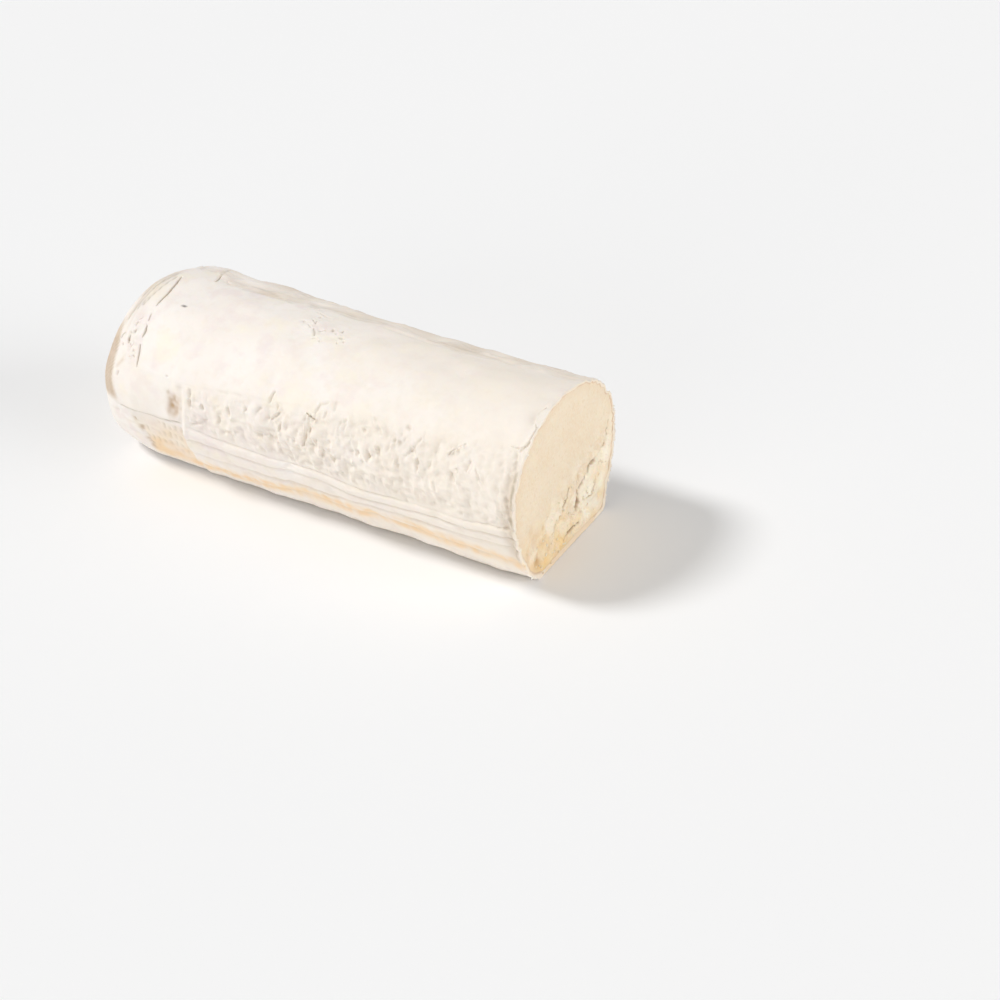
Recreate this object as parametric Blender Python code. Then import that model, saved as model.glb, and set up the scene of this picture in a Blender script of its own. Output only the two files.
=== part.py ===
"""A goat cheese log with a soft white rind, cut across at one end: one solid, lying on its flat underside.

Metres, +Z up. X runs along the log from its rounded end to the cut, and the origin is under its middle.
The near side is -Y. The skin is a cube's sides rolled round the section, and the cube's ends are its ends.
"""

import math

import bmesh
import bpy
import numpy as np
from mathutils import Vector, noise

MM = 0.001

# Section: two halves of a superellipse, sagged onto a flat strip
WIDTH = 80.0 * MM
HEIGHT = 68.9 * MM
WIDEST_HEIGHT = 36.6 * MM
BASE_HALF_WIDTH = 21.4 * MM
UPPER_ROUNDNESS = 1.905
LOWER_ROUNDNESS = 1.633
LEAN = -0.035

# Along the log: places are counted from a ring 93.85 mm behind the middle of the cut
CUT_PLACE = 93.85 * MM
END_PLACE = -98.3 * MM
CUT_YAW = math.radians(3.74)
CUT_YAW_REACH = 40.0 * MM
SHOULDER_DEPTH = 14.0 * MM
SHOULDER_SHRINK_LOW = 0.12
SHOULDER_SHRINK_HIGH = 0.20
SHOULDER_CENTRE_HEIGHT = 24.0 * MM
SHOULDER_SHRINK_HEIGHTS = (5.0 * MM, 40.0 * MM)
END_LEAN = 2.8 * MM
SHOULDER_START = END_PLACE + SHOULDER_DEPTH
END_DOME = 1.8 * MM
END_RELIEF_SHARE = 0.5

# Mesh density
RIDGE_COLUMNS = 4
SIDE_COLUMNS = 20
CROWN_COLUMNS = 30
SHOULDER_STATIONS = 6
BODY_STATION_STEP = 3.9 * MM
CUT_STATIONS = (8.0 * MM, 5.6 * MM, 3.6 * MM, 2.0 * MM, 0.9 * MM, 0.0)
CREASE_STATIONS = (0.7 * MM, 1.9 * MM)

# The four long grooves low on the near side: (place along X, girth up from the base edge), in millimetres
NEAR_GROOVES = (
    ((-90, 13.5), (-39, 14.0), (-1, 18.7), (41, 21.3), (94, 18.7)),
    ((-90, 22.0), (-58, 22.3), (-27, 23.2), (1, 24.2), (28, 26.9), (94, 28.2)),
    ((-90, 31.0), (-57, 31.0), (-20, 30.2), (5, 32.3), (32, 30.5), (59, 32.4), (94, 34.0)),
    ((-90, 37.4), (-58, 38.6), (-37, 36.0), (-9, 35.5), (5, 36.7), (30, 35.1), (60, 36.0), (94, 38.7)),
)
FAR_GROOVES = (
    ((-90, 13.0), (-30, 16.5), (40, 14.5), (94, 16.0)),
    ((-90, 21.5), (-20, 24.0), (30, 22.0), (94, 24.5)),
    ((-90, 29.5), (-45, 31.5), (20, 29.5), (94, 32.0)),
    ((-90, 37.5), (-10, 36.0), (50, 38.0), (94, 37.0)),
)
SIDE_GIRTH = 52.0 * MM
RIDGE_HEIGHT = 0.75 * MM
FAR_RIDGE_SHARE = 0.8
RIDGE_FULLNESS = 0.5

# Unevenness of the whole skin: (height, size of its lumps, seed)
SKIN_LUMPS = ((0.55 * MM, 30.0 * MM, 3.1), (0.35 * MM, 12.0 * MM, 7.7))
# The near side's crinkles, between these girths
CRINKLES_RISE = (36.0 * MM, 42.0 * MM)
CRINKLES_FALL = (64.0 * MM, 76.0 * MM)
CRINKLE_HEIGHT = 0.5 * MM
CRINKLE_SIZE = 8.0 * MM
CRINKLE_STRETCH = (1.6, 0.7, 0.7)
CRINKLE_SEED = 5.2
# Pinches in the near side: (place along X, girth, half width, half height, depth), in millimetres
PINCHES = ((-17.5, 68.0, 2.8, 9.0, 0.9), (-13.0, 54.0, 3.0, 7.0, 0.9))

# How far each base edge wanders inward along the log: (place along X, shift), in millimetres
NEAR_EDGE_LINE = ((-96, 0.4), (-80, 1.2), (-60, -0.3), (-36, -1.1), (2, 1.4), (20, -0.2), (38, 1.6),
                  (75, -1.2), (92, 1.2))
FAR_EDGE_LINE = ((-94, 1.6), (-70, -0.8), (-40, 1.2), (-12, -1.0), (22, 0.9), (50, -0.9), (80, 1.0),
                 (94, 0.2))
EDGE_WANDER_REACH = 15.0 * MM
EDGE_RELIEF_FADE = 3.0 * MM

# Where the rind is torn or thin low on the near side, beside the rounded end
BARE_PATCH_X = (-81.0 * MM, -56.5 * MM)
BARE_PATCH_GIRTH = (7.0 * MM, 36.0 * MM)
BARE_PATCH_DEPTH = 0.7 * MM
BARE_PATCH_SLOPE = 2.0 * MM
THICK_RIND_STEP = (-1.0 * MM, 1.5 * MM)
BARE_SPOT = (-59.0 * MM, 46.0 * MM)
BARE_SPOT_HALF_SIZE = (2.6 * MM, 4.8 * MM)
BARE_SPOT_DEPTH = 0.9 * MM

# The crown's uneven line along the log, strongest behind its top: (place along X, rise), in millimetres
CROWN_LINE = ((-90, 0.2), (-78, 1.0), (-67, 0.1), (-45, 0.75), (-22, -0.2), (20, -0.9), (40, -0.75),
              (60, -0.4), (76, 0.2), (94, 0.1))
CROWN_LINE_GIRTH = 126.0 * MM
CROWN_LINE_REACH = 34.0 * MM

# The crease where the wrapper was folded over the rounded end: (girth, place along X), in millimetres
CREASE_LINE = ((0, -77.5), (40, -77.5), (57, -78.6), (83, -82.0), (104, -83.0), (140, -81.5),
               (199, -78.0))
CREASE_DEPTH = 0.2 * MM
CREASE_HALF_WIDTH = 1.0 * MM
CREASE_DEEPEST_GIRTH = 84.0 * MM
CREASE_REACH = 26.0 * MM
CREASE_LEAST = 0.3

# The rim beside the cut: a shallow valley, then a lip, both strongest between two girths
VALLEY_DISTANCE = 3.6 * MM
VALLEY_HALF_WIDTH = 1.8 * MM
VALLEY_DEPTH = 0.7 * MM
VALLEY_LEAST = 0.25
LIP_DISTANCE = 0.6 * MM
LIP_HALF_WIDTH = 1.2 * MM
LIP_HEIGHT = 0.12 * MM
LIP_LEAST = 0.3
RIM_RISE = (20.0 * MM, 32.0 * MM)
RIM_FALL = (60.0 * MM, 80.0 * MM)
FLAP_GIRTH = 192.0 * MM
FLAP_HALF_SIZE = (5.0 * MM, 3.2 * MM)
FLAP_HEIGHT = 2.4 * MM

# Cracks in the cut face: (across, up) points in millimetres, then half width and depth
CRACKS = (
    (((35.0, 38.0), (29.4, 29.1), (24.1, 27.3), (18.1, 26.0), (15.7, 23.1), (11.8, 21.2)), 1.6, 1.2),
    (((2.8, 25.4), (1.6, 22.4), (-2.9, 21.0), (-8.3, 15.9), (-11.3, 13.2)), 1.3, 1.0),
    (((23.7, 19.2), (22.1, 15.6), (18.9, 13.2), (14.5, 13.7)), 1.3, 0.8),
    (((9.7, 7.1), (5.2, 7.7), (1.5, 7.5), (-2.9, 6.5)), 1.5, 1.0),
)
PIT = (8.0, 15.9)
PIT_HALF_WIDTH = 1.7
PIT_DEPTH = 2.0

# The crumbly lower part of the cut face
CRUMBLE_HEIGHT = 0.75 * MM
CRUMBLE_SIZE = 5.5 * MM
CRUMBLE_SEED = 11.3
# Where it starts, in millimetres: below a line that tilts across the face, and beyond one near its side
CRUMBLY_BELOW = (22.0, 36.0)
CRUMBLY_TILT = 0.25
CRUMBLY_BEYOND = (-34.0, -10.0)
CRUMBLY_SIDE_TILT = 0.4
CUT_LUMPS = (0.25 * MM, 16.0 * MM, 2.9)
CUT_RELIEF_FADE = (0.86, 0.99)
# Its share of the cube's end, which is divided once more: across, then up
FINE_ACROSS = (-0.55, 0.84)
FINE_UP = (-0.84, 0.05)

# Unevenness of the rounded end's face
END_LUMPS = (0.5 * MM, 14.0 * MM, 9.4)

# A point of the cube that is nearer to a side than this lies on it
ON_SIDE = 0.9999


def clear_scene():
    for thing in list(bpy.data.objects):
        bpy.data.objects.remove(thing, do_unlink=True)


def ease(low, high, value):
    """0 below low, 1 above high, and a smooth step between."""
    share = np.clip((value - low) / (high - low), 0.0, 1.0)
    return share * share * (3.0 - 2.0 * share)


def bell(value, middle, reach):
    return np.exp(-(((value - middle) / reach) ** 2))


def eased_line(place, points):
    """The value at a place of a line that eases from one (place, value) point to the next."""
    places = np.array([point[0] for point in points], float)
    values = np.array([point[1] for point in points], float)
    place = np.clip(place, places[0], places[-1])
    left = np.clip(np.searchsorted(places, place, side="right") - 1, 0, len(places) - 2)
    share = ease(0.0, 1.0, (place - places[left]) / (places[left + 1] - places[left]))
    return values[left] + (values[left + 1] - values[left]) * share


def lumps(points, size, shift, stretch=(1.0, 1.0, 1.0)):
    """Smooth noise between about -1 and 1 at each point, with lumps of that size."""
    scale = Vector(stretch) / size
    offset = Vector((shift, 2.3 * shift, -1.7 * shift))
    return np.array([noise.noise(Vector(p) * scale + offset) for p in points])


def section_curve(count=400):
    """Girth, y, z and outward normal of the section, from the near base edge over the crown."""
    turn = np.linspace(0.0, math.pi / 2, count)
    half = WIDTH / 2
    low_y = BASE_HALF_WIDTH + (half - BASE_HALF_WIDTH) * np.cos(turn) ** (2 / LOWER_ROUNDNESS)
    low_z = WIDEST_HEIGHT * (1 - np.sin(turn) ** (2 / LOWER_ROUNDNESS))
    high_y = half * np.cos(turn) ** (2 / UPPER_ROUNDNESS)
    high_z = WIDEST_HEIGHT + (HEIGHT - WIDEST_HEIGHT) * np.sin(turn) ** (2 / UPPER_ROUNDNESS)
    y = np.concatenate([low_y[::-1], high_y[1:]])
    z = np.concatenate([low_z[::-1], high_z[1:]])
    y = np.concatenate([-y, y[::-1][1:]])
    z = np.concatenate([z, z[::-1][1:]])
    y = y + LEAN * (z - WIDEST_HEIGHT)
    girth = np.concatenate([[0.0], np.cumsum(np.hypot(np.diff(y), np.diff(z)))])
    along_y = np.gradient(y, girth)
    along_z = np.gradient(z, girth)
    length = np.hypot(along_y, along_z)
    return girth, y, z, -along_z / length, along_y / length


GIRTH, CURVE_Y, CURVE_Z, NORMAL_Y, NORMAL_Z = section_curve()
FULL_GIRTH = GIRTH[-1]


def station_places():
    """Nominal x of each ring of the skin, and the share of the shoulder's turn that it has made."""
    places = []
    turns = []
    for step in range(SHOULDER_STATIONS + 1):
        angle = math.pi / 2 * (1 - step / SHOULDER_STATIONS)
        places.append(SHOULDER_START - SHOULDER_DEPTH * math.sin(angle))
        turns.append(1 - math.cos(angle))
    for gap in CREASE_STATIONS:
        places.append(SHOULDER_START + gap)
        turns.append(0.0)
    cut_places = [CUT_PLACE - gap for gap in CUT_STATIONS]
    span = cut_places[0] - places[-1]
    steps = round(span / BODY_STATION_STEP)
    first = places[-1]
    for step in range(1, steps):
        places.append(first + span * step / steps)
        turns.append(0.0)
    for place in cut_places:
        places.append(place)
        turns.append(0.0)
    return np.array(places), np.array(turns)


def groove_girths(x, grooves):
    """Girth of each groove at x, from the base edge up, with the base edge first."""
    return [np.zeros_like(x)] + [eased_line(x / MM, line) * MM for line in grooves]


def side_girth(share, x, grooves):
    """Girth up from a base edge, for a share from 0 to 1 of the side's columns, which follow the grooves."""
    edges = groove_girths(x, grooves) + [np.full_like(x, SIDE_GIRTH)]
    marks = [RIDGE_COLUMNS * i / SIDE_COLUMNS for i in range(len(grooves) + 1)] + [1.0]
    girth = np.zeros_like(x)
    for i in range(len(edges) - 1):
        inside = (share >= marks[i]) & (share <= marks[i + 1])
        part = (share - marks[i]) / (marks[i + 1] - marks[i])
        girth = np.where(inside, edges[i] + (edges[i + 1] - edges[i]) * part, girth)
    return girth


def ridge_wave(girth, x, grooves):
    """0 in each groove and 1 on each ridge between them, fading to 0 above the top groove."""
    edges = groove_girths(x, grooves)
    wave = np.zeros_like(x)
    for i in range(len(edges) - 1):
        part = np.clip((girth - edges[i]) / (edges[i + 1] - edges[i]), 0.0, 1.0)
        wave = np.maximum(wave, np.sin(part * math.pi) ** RIDGE_FULLNESS)
    return wave


def around_to_girth(around, x):
    """Girth for a place around the cube: 0 to 1 near side, to 2 crown, to 3 far side."""
    near = side_girth(np.clip(around, 0.0, 1.0), x, NEAR_GROOVES)
    crown = SIDE_GIRTH + (FULL_GIRTH - 2 * SIDE_GIRTH) * np.clip(around - 1.0, 0.0, 1.0)
    far = FULL_GIRTH - side_girth(np.clip(3.0 - around, 0.0, 1.0), x, FAR_GROOVES)
    return np.where(around <= 1.0, near, np.where(around <= 2.0, crown, far))


def thick_rind(x):
    """0 on the thin patch beside the rounded end and 1 past its edge."""
    return ease(BARE_PATCH_X[1] + THICK_RIND_STEP[0], BARE_PATCH_X[1] + THICK_RIND_STEP[1], x)


def patch_relief(x, girth):
    """How deep the torn patch and the bare spot lie."""
    patch = ease(BARE_PATCH_X[0], BARE_PATCH_X[0] + BARE_PATCH_SLOPE, x) * (1 - thick_rind(x))
    patch *= ease(BARE_PATCH_GIRTH[0], BARE_PATCH_GIRTH[0] + BARE_PATCH_SLOPE, girth)
    patch *= 1 - ease(BARE_PATCH_GIRTH[1], BARE_PATCH_GIRTH[1] + BARE_PATCH_SLOPE, girth)
    across = (x - BARE_SPOT[0]) / BARE_SPOT_HALF_SIZE[0]
    up = (girth - BARE_SPOT[1]) / BARE_SPOT_HALF_SIZE[1]
    return BARE_PATCH_DEPTH * patch + BARE_SPOT_DEPTH * np.exp(-((across ** 2 + up ** 2) ** 2))


def rim_relief(x, girth):
    """The valley and the lip along the cut's rim, and the loosened flap at its far corner."""
    before_cut = CUT_PLACE - x
    near_rim = ease(*RIM_RISE, girth) * (1 - ease(*RIM_FALL, girth))
    valley = VALLEY_DEPTH * bell(before_cut, VALLEY_DISTANCE, VALLEY_HALF_WIDTH)
    valley *= VALLEY_LEAST + (1 - VALLEY_LEAST) * near_rim
    lip = LIP_HEIGHT * bell(before_cut, LIP_DISTANCE, LIP_HALF_WIDTH)
    lip *= LIP_LEAST + (1 - LIP_LEAST) * near_rim
    flap = bell(girth, FLAP_GIRTH, FLAP_HALF_SIZE[1]) * bell(before_cut, 0.0, FLAP_HALF_SIZE[0])
    return lip - valley + FLAP_HEIGHT * flap


def skin_relief(x, girth, points):
    """How far the skin stands out from the plain section, for points on the body."""
    relief = RIDGE_HEIGHT * thick_rind(x) * ridge_wave(girth, x, NEAR_GROOVES)
    relief += RIDGE_HEIGHT * FAR_RIDGE_SHARE * ridge_wave(FULL_GIRTH - girth, x, FAR_GROOVES)
    crown = eased_line(x / MM, CROWN_LINE) * MM
    relief += crown * bell(girth, CROWN_LINE_GIRTH, CROWN_LINE_REACH)
    for height, size, seed in SKIN_LUMPS:
        relief += height * lumps(points, size, seed)

    crinkled = ease(*CRINKLES_RISE, girth) * (1 - ease(*CRINKLES_FALL, girth))
    relief += CRINKLE_HEIGHT * crinkled * lumps(points, CRINKLE_SIZE, CRINKLE_SEED, CRINKLE_STRETCH)
    for place, height, half_width, half_height, depth in PINCHES:
        relief -= depth * MM * bell(x / MM, place, half_width) * bell(girth / MM, height, half_height)

    crease = eased_line(girth / MM, CREASE_LINE) * MM
    strength = CREASE_LEAST + (1 - CREASE_LEAST) * bell(girth, CREASE_DEEPEST_GIRTH, CREASE_REACH)
    relief -= CREASE_DEPTH * strength * bell(x, crease, CREASE_HALF_WIDTH)
    return relief - patch_relief(x, girth) + rim_relief(x, girth)


def edge_wander(x, girth):
    """Shift along Y of the lowest part of each side, all of it at the base edge."""
    near = eased_line(x / MM, NEAR_EDGE_LINE) * MM * (1 - ease(0.0, EDGE_WANDER_REACH, girth))
    far = eased_line(x / MM, FAR_EDGE_LINE) * MM * (1 - ease(0.0, EDGE_WANDER_REACH, FULL_GIRTH - girth))
    return near - far


def cut_lean(y, x):
    """How far the yawed cut moves a point along X, all of it at the cut and none a little way behind."""
    return -y * math.tan(CUT_YAW) * ease(CUT_PLACE - CUT_YAW_REACH, CUT_PLACE, x)


def skin_points(around, x, turned):
    """Places on the finished skin: around the section, along X, and how far round the end's shoulder."""
    girth = around_to_girth(around, x)
    crease_shift = eased_line(girth / MM, CREASE_LINE) * MM - SHOULDER_START
    shifted = x + crease_shift * (1 - ease(SHOULDER_START, SHOULDER_START + 3 * SHOULDER_DEPTH, x))
    shifted = np.where(turned > 0, x + crease_shift * (1 - turned), shifted)
    y = np.interp(girth, GIRTH, CURVE_Y)
    z = np.interp(girth, GIRTH, CURVE_Z)
    plain = np.stack([shifted, y, z], 1)
    relief = skin_relief(shifted, girth, plain)
    relief *= ease(0.0, EDGE_RELIEF_FADE, girth) * ease(0.0, EDGE_RELIEF_FADE, FULL_GIRTH - girth)
    relief *= 1 - (1 - END_RELIEF_SHARE) * turned
    y = y + np.interp(girth, GIRTH, NORMAL_Y) * relief + edge_wander(shifted, girth)
    z = z + np.interp(girth, GIRTH, NORMAL_Z) * relief

    under = around > 3.0
    near_edge = CURVE_Y[0] + edge_wander(shifted, 0.0)
    far_edge = CURVE_Y[-1] + edge_wander(shifted, FULL_GIRTH)
    across = np.clip(around - 3.0, 0.0, 1.0)
    y = np.where(under, far_edge + (near_edge - far_edge) * across, y)
    z = np.where(under, 0.0, np.maximum(z, 0.0))

    height_share = ease(*SHOULDER_SHRINK_HEIGHTS, z)
    shrink = 1 - turned * (SHOULDER_SHRINK_LOW + (SHOULDER_SHRINK_HIGH - SHOULDER_SHRINK_LOW) * height_share)
    shifted = shifted - END_LEAN * turned * (1 - z / HEIGHT)
    y = y * shrink
    z = SHOULDER_CENTRE_HEIGHT + (z - SHOULDER_CENTRE_HEIGHT) * shrink
    return np.stack([shifted + cut_lean(y, shifted), y, z], 1)


def distance_to_line(y, z, line):
    """Shortest distance in millimetres from each (y, z) to a line of points."""
    best = np.full_like(y, 1e9)
    for (y0, z0), (y1, z1) in zip(line, line[1:]):
        run = (y1 - y0) ** 2 + (z1 - z0) ** 2
        share = np.clip(((y - y0) * (y1 - y0) + (z - z0) * (z1 - z0)) / run, 0.0, 1.0)
        best = np.minimum(best, np.hypot(y - y0 - share * (y1 - y0), z - z0 - share * (z1 - z0)))
    return best


def cut_relief(points, inward):
    """How far the cut face stands out along X. inward is 0 at the middle of the face and 1 at its rim."""
    y = points[:, 1] / MM
    z = points[:, 2] / MM
    crumbly = 1 - ease(*CRUMBLY_BELOW, z - CRUMBLY_TILT * y)
    crumbly *= ease(*CRUMBLY_BEYOND, y + CRUMBLY_SIDE_TILT * z)
    relief = CRUMBLE_HEIGHT * crumbly * lumps(points, CRUMBLE_SIZE, CRUMBLE_SEED)
    height, size, seed = CUT_LUMPS
    relief += height * lumps(points, size, seed)
    for line, half_width, depth in CRACKS:
        relief -= depth * MM * bell(distance_to_line(y, z, line), 0.0, half_width)
    relief -= PIT_DEPTH * MM * bell(np.hypot(y - PIT[0], z - PIT[1]), 0.0, PIT_HALF_WIDTH)
    return relief * (1 - ease(*CUT_RELIEF_FADE, inward))


def divided_cube(stations):
    """A cube cut into the log's grid: stations along X, side columns up Z and crown columns across Y."""
    shape = bmesh.new()
    bmesh.ops.create_cube(shape, size=2.0)
    for axis, cuts in ((0, stations - 2), (1, CROWN_COLUMNS - 1), (2, SIDE_COLUMNS - 1)):
        edges = []
        for edge in shape.edges:
            run = edge.verts[1].co - edge.verts[0].co
            if abs(run[axis]) > 1 - ON_SIDE:
                edges.append(edge)
        bmesh.ops.subdivide_edges(shape, edges=edges, cuts=cuts, use_grid_fill=True)
    return shape


def refine_crumbly_part(shape):
    """Splits the cut end's faces once where the cracks run, away from the rim."""
    edges = set()
    for face in shape.faces:
        middle = face.calc_center_median()
        across = FINE_ACROSS[0] < middle.y < FINE_ACROSS[1]
        up = FINE_UP[0] < middle.z < FINE_UP[1]
        if middle.x > ON_SIDE and across and up:
            edges.update(face.edges)
    bmesh.ops.subdivide_edges(shape, edges=list(edges), cuts=1, use_grid_fill=True)


def cube_around(across, up):
    """Place round the section of a point on the cube's outline: 0 to 1 near, 2 crown, 3 far, 4 base."""
    near = across < -ON_SIDE
    top = up > ON_SIDE
    far = across > ON_SIDE
    around = np.select([near, top, far], [(up + 1) / 2, 1 + (across + 1) / 2, 2 + (1 - up) / 2],
                       3 + (1 - across) / 2)
    return np.where(near & (up < -ON_SIDE), 0.0, around)


def shape_log(shape, places, turns):
    """Moves every vertex of the divided cube to its place on the log."""
    cube = np.array([vert.co for vert in shape.verts])
    last = len(places) - 1
    station = np.rint((cube[:, 0] + 1) / 2 * last).astype(int)
    inward = np.maximum(np.abs(cube[:, 1]), np.abs(cube[:, 2]))
    reach = np.maximum(inward, 1 - ON_SIDE)
    around = cube_around(np.clip(cube[:, 1] / reach, -1.0, 1.0), np.clip(cube[:, 2] / reach, -1.0, 1.0))

    rim = skin_points(around, places[station], turns[station])
    points = rim.copy()
    inside = inward < ON_SIDE
    middle_z = np.where(cube[:, 0] < 0, SHOULDER_CENTRE_HEIGHT, HEIGHT / 2)
    points[:, 1] = np.where(inside, rim[:, 1] * inward, rim[:, 1])
    points[:, 2] = np.where(inside, middle_z + (rim[:, 2] - middle_z) * inward, rim[:, 2])

    far_end = inside & (cube[:, 0] < 0)
    dome = END_DOME * (1 - inward ** 2)
    level = END_PLACE - END_LEAN * (1 - points[:, 2] / HEIGHT)
    points[far_end, 0] = (level + (rim[:, 0] - level) * inward ** 2 - dome)[far_end]
    height, size, seed = END_LUMPS
    points[far_end, 0] += height * lumps(points[far_end], size, seed)

    cut_end = inside & (cube[:, 0] > 0)
    points[cut_end, 0] = CUT_PLACE + cut_lean(points[cut_end, 1], CUT_PLACE)
    points[cut_end, 0] += cut_relief(points[cut_end], inward[cut_end])
    for vert, point in zip(shape.verts, points):
        vert.co = point


def merge_base_columns(shape):
    """Welds the underside's columns to its two edges, between the ends, because it is flat across."""
    edges = {}
    middle = []
    for vert in shape.verts:
        if vert.co.z < -ON_SIDE and abs(vert.co.x) < ON_SIDE:
            if abs(vert.co.y) > ON_SIDE:
                edges[round(vert.co.x, 4), vert.co.y > 0] = vert
            else:
                middle.append(vert)
    targets = {vert: edges[round(vert.co.x, 4), vert.co.y > 0] for vert in middle}
    bmesh.ops.weld_verts(shape, targetmap=targets)


def centre_on_origin(shape):
    """Puts the middle of the box's underside at the origin."""
    points = np.array([vert.co for vert in shape.verts])
    middle = (points.min(0) + points.max(0)) / 2
    bmesh.ops.translate(shape, verts=shape.verts, vec=(-middle[0], -middle[1], 0.0))


def ivory_material():
    """Ivory white, matt and slightly moist."""
    material = bpy.data.materials.new("rind")
    material.use_nodes = True
    shader = material.node_tree.nodes["Principled BSDF"]
    shader.inputs["Base Color"].default_value = (0.89, 0.82, 0.71, 1.0)
    shader.inputs["Roughness"].default_value = 0.62
    shader.inputs["Metallic"].default_value = 0.0
    return material


def build_cheese_log():
    places, turns = station_places()
    shape = divided_cube(len(places))
    merge_base_columns(shape)
    refine_crumbly_part(shape)
    shape_log(shape, places, turns)
    centre_on_origin(shape)
    bmesh.ops.recalc_face_normals(shape, faces=shape.faces)
    mesh = bpy.data.meshes.new("cheese_log")
    shape.to_mesh(mesh)
    shape.free()
    mesh.shade_smooth()
    mesh.set_sharp_from_angle(angle=math.radians(50))
    mesh.materials.append(ivory_material())
    log = bpy.data.objects.new("cheese_log", mesh)
    bpy.context.scene.collection.objects.link(log)
    return log


clear_scene()
build_cheese_log()
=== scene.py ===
"""Looks of a goat cheese log: its soft white rind, the cut face of its paste, and the loose bits on both.

Lengths are in millimetres until a mesh is finished. x runs along the log from the rounded end to the cut,
and girth is the way round the section, from the near base edge over the crown to the far base edge.
A mask is a number on each vertex that says how far a colour shows there.
"""

import math
import random

import bmesh
import bpy
import numpy as np
from mathutils import Matrix, Vector, noise


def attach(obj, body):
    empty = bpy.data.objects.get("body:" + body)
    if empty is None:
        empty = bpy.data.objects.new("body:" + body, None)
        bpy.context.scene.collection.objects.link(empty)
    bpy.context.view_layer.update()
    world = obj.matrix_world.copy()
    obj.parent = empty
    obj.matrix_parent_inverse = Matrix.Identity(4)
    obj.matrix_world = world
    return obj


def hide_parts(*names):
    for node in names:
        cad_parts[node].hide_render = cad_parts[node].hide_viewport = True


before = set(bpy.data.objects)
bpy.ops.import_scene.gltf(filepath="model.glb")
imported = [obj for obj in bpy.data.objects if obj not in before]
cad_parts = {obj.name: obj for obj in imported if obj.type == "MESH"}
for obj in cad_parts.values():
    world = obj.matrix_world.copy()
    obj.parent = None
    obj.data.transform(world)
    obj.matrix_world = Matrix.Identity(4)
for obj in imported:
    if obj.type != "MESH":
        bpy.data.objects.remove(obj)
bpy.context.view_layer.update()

MM = 0.001
# The solid was centred on the origin by this much
TO_MIDDLE = np.array([2.8082, 0.0471, 0.0])

# Section: two halves of a superellipse, sagged onto a flat strip
WIDTH = 80.0
HEIGHT = 68.9
WIDEST_HEIGHT = 36.6
BASE_HALF_WIDTH = 21.4
UPPER_ROUNDNESS = 1.905
LOWER_ROUNDNESS = 1.633
LEAN = -0.035

# Along the log
CUT_PLACE = 93.85
END_PLACE = -98.3
CUT_YAW = math.radians(3.74)
CUT_YAW_REACH = 40.0
SHOULDER_DEPTH = 14.0
SHOULDER_SHRINK_LOW = 0.12
SHOULDER_SHRINK_HIGH = 0.20
SHOULDER_CENTRE_HEIGHT = 24.0
END_LEAN = 2.8
SHOULDER_START = END_PLACE + SHOULDER_DEPTH
END_DOME = 1.8

# Rings and columns of the rind's mesh: rings on the shoulder, then runs of rings as (length, step)
SHOULDER_STATIONS = 26
STATION_RUNS = ((6.0, 0.4), (164.15, 0.84), (8.0, 0.4))
CROWN_COLUMNS = 110
SIDE_COLUMNS = 80
RIDGE_COLUMNS = 13
BASE_COLUMN_STEP = 10
# Rings of the rim: how far apart they start, and the share of the rim's width where each ends up
RING_STEP = 0.1
RIM_SHARES = (0.0, 0.25, 0.62, 1.0, 1.0)
# The unseen back of the rind behind the cut
POCKET_DEPTH = 16.0
POCKET_TAPER = 6.0
SHARP_ANGLE = math.radians(65)

# The long grooves low on each side: (x, girth up from the base edge)
NEAR_GROOVES = (
    ((-90, 13.5), (-39, 14.0), (-1, 18.7), (41, 21.3), (94, 18.7)),
    ((-90, 22.0), (-58, 22.3), (-27, 23.2), (1, 24.2), (28, 26.9), (94, 28.2)),
    ((-90, 31.0), (-57, 31.0), (-20, 30.2), (5, 32.3), (32, 30.5), (59, 32.4), (94, 34.0)),
    ((-90, 37.4), (-58, 38.6), (-37, 36.0), (-9, 35.5), (5, 36.7), (30, 35.1), (60, 36.0), (94, 38.7)),
)
FAR_GROOVES = (
    ((-90, 13.0), (-30, 16.5), (40, 14.5), (94, 16.0)),
    ((-90, 21.5), (-20, 24.0), (30, 22.0), (94, 24.5)),
    ((-90, 29.5), (-45, 31.5), (20, 29.5), (94, 32.0)),
    ((-90, 37.5), (-10, 36.0), (50, 38.0), (94, 37.0)),
)
SIDE_GIRTH = 52.0
RIDGE_HEIGHT = 0.75
GROOVE_DEPTH = 0.3

# How far each base edge wanders inward: (x, shift)
NEAR_EDGE_LINE = ((-96, 0.4), (-80, 1.2), (-60, -0.3), (-36, -1.1), (2, 1.4), (20, -0.2), (38, 1.6),
                  (75, -1.2), (92, 1.2))
FAR_EDGE_LINE = ((-94, 1.6), (-70, -0.8), (-40, 1.2), (-12, -1.0), (22, 0.9), (50, -0.9), (80, 1.0),
                 (94, 0.2))
EDGE_WANDER_REACH = 15.0

# Where the rind is torn or thin, low beside the rounded end
BARE_PATCH_X = (-81.0, -56.5)
BARE_PATCH_GIRTH = (7.0, 36.0)
BARE_PATCH_DEPTH = 0.7
BARE_SPOT = (-59.0, 46.0)
BARE_SPOT_HALF_SIZE = (2.6, 4.8)
BARE_SPOT_DEPTH = 0.9
# The patch's torn edge and rolled side as (girth, x), and the line along its top as (x, girth)
TORN_EDGE = ((16.6, -80.0), (22.4, -80.0), (26.8, -81.0), (31.5, -82.0), (36.2, -81.0))
ROLLED_EDGE = ((14, -58), (24, -58), (31, -57), (38, -55.6), (42.5, -55), (47, -54.6), (56, -55.3))
PATCH_TOP = ((-92, 36.1), (-80, 36.8), (-69, 37.6), (-58, 39.0))
# The pitch of the dashes on the patch, along the log and from row to row
DASH_PITCH = (2.9, 5.6)

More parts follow.
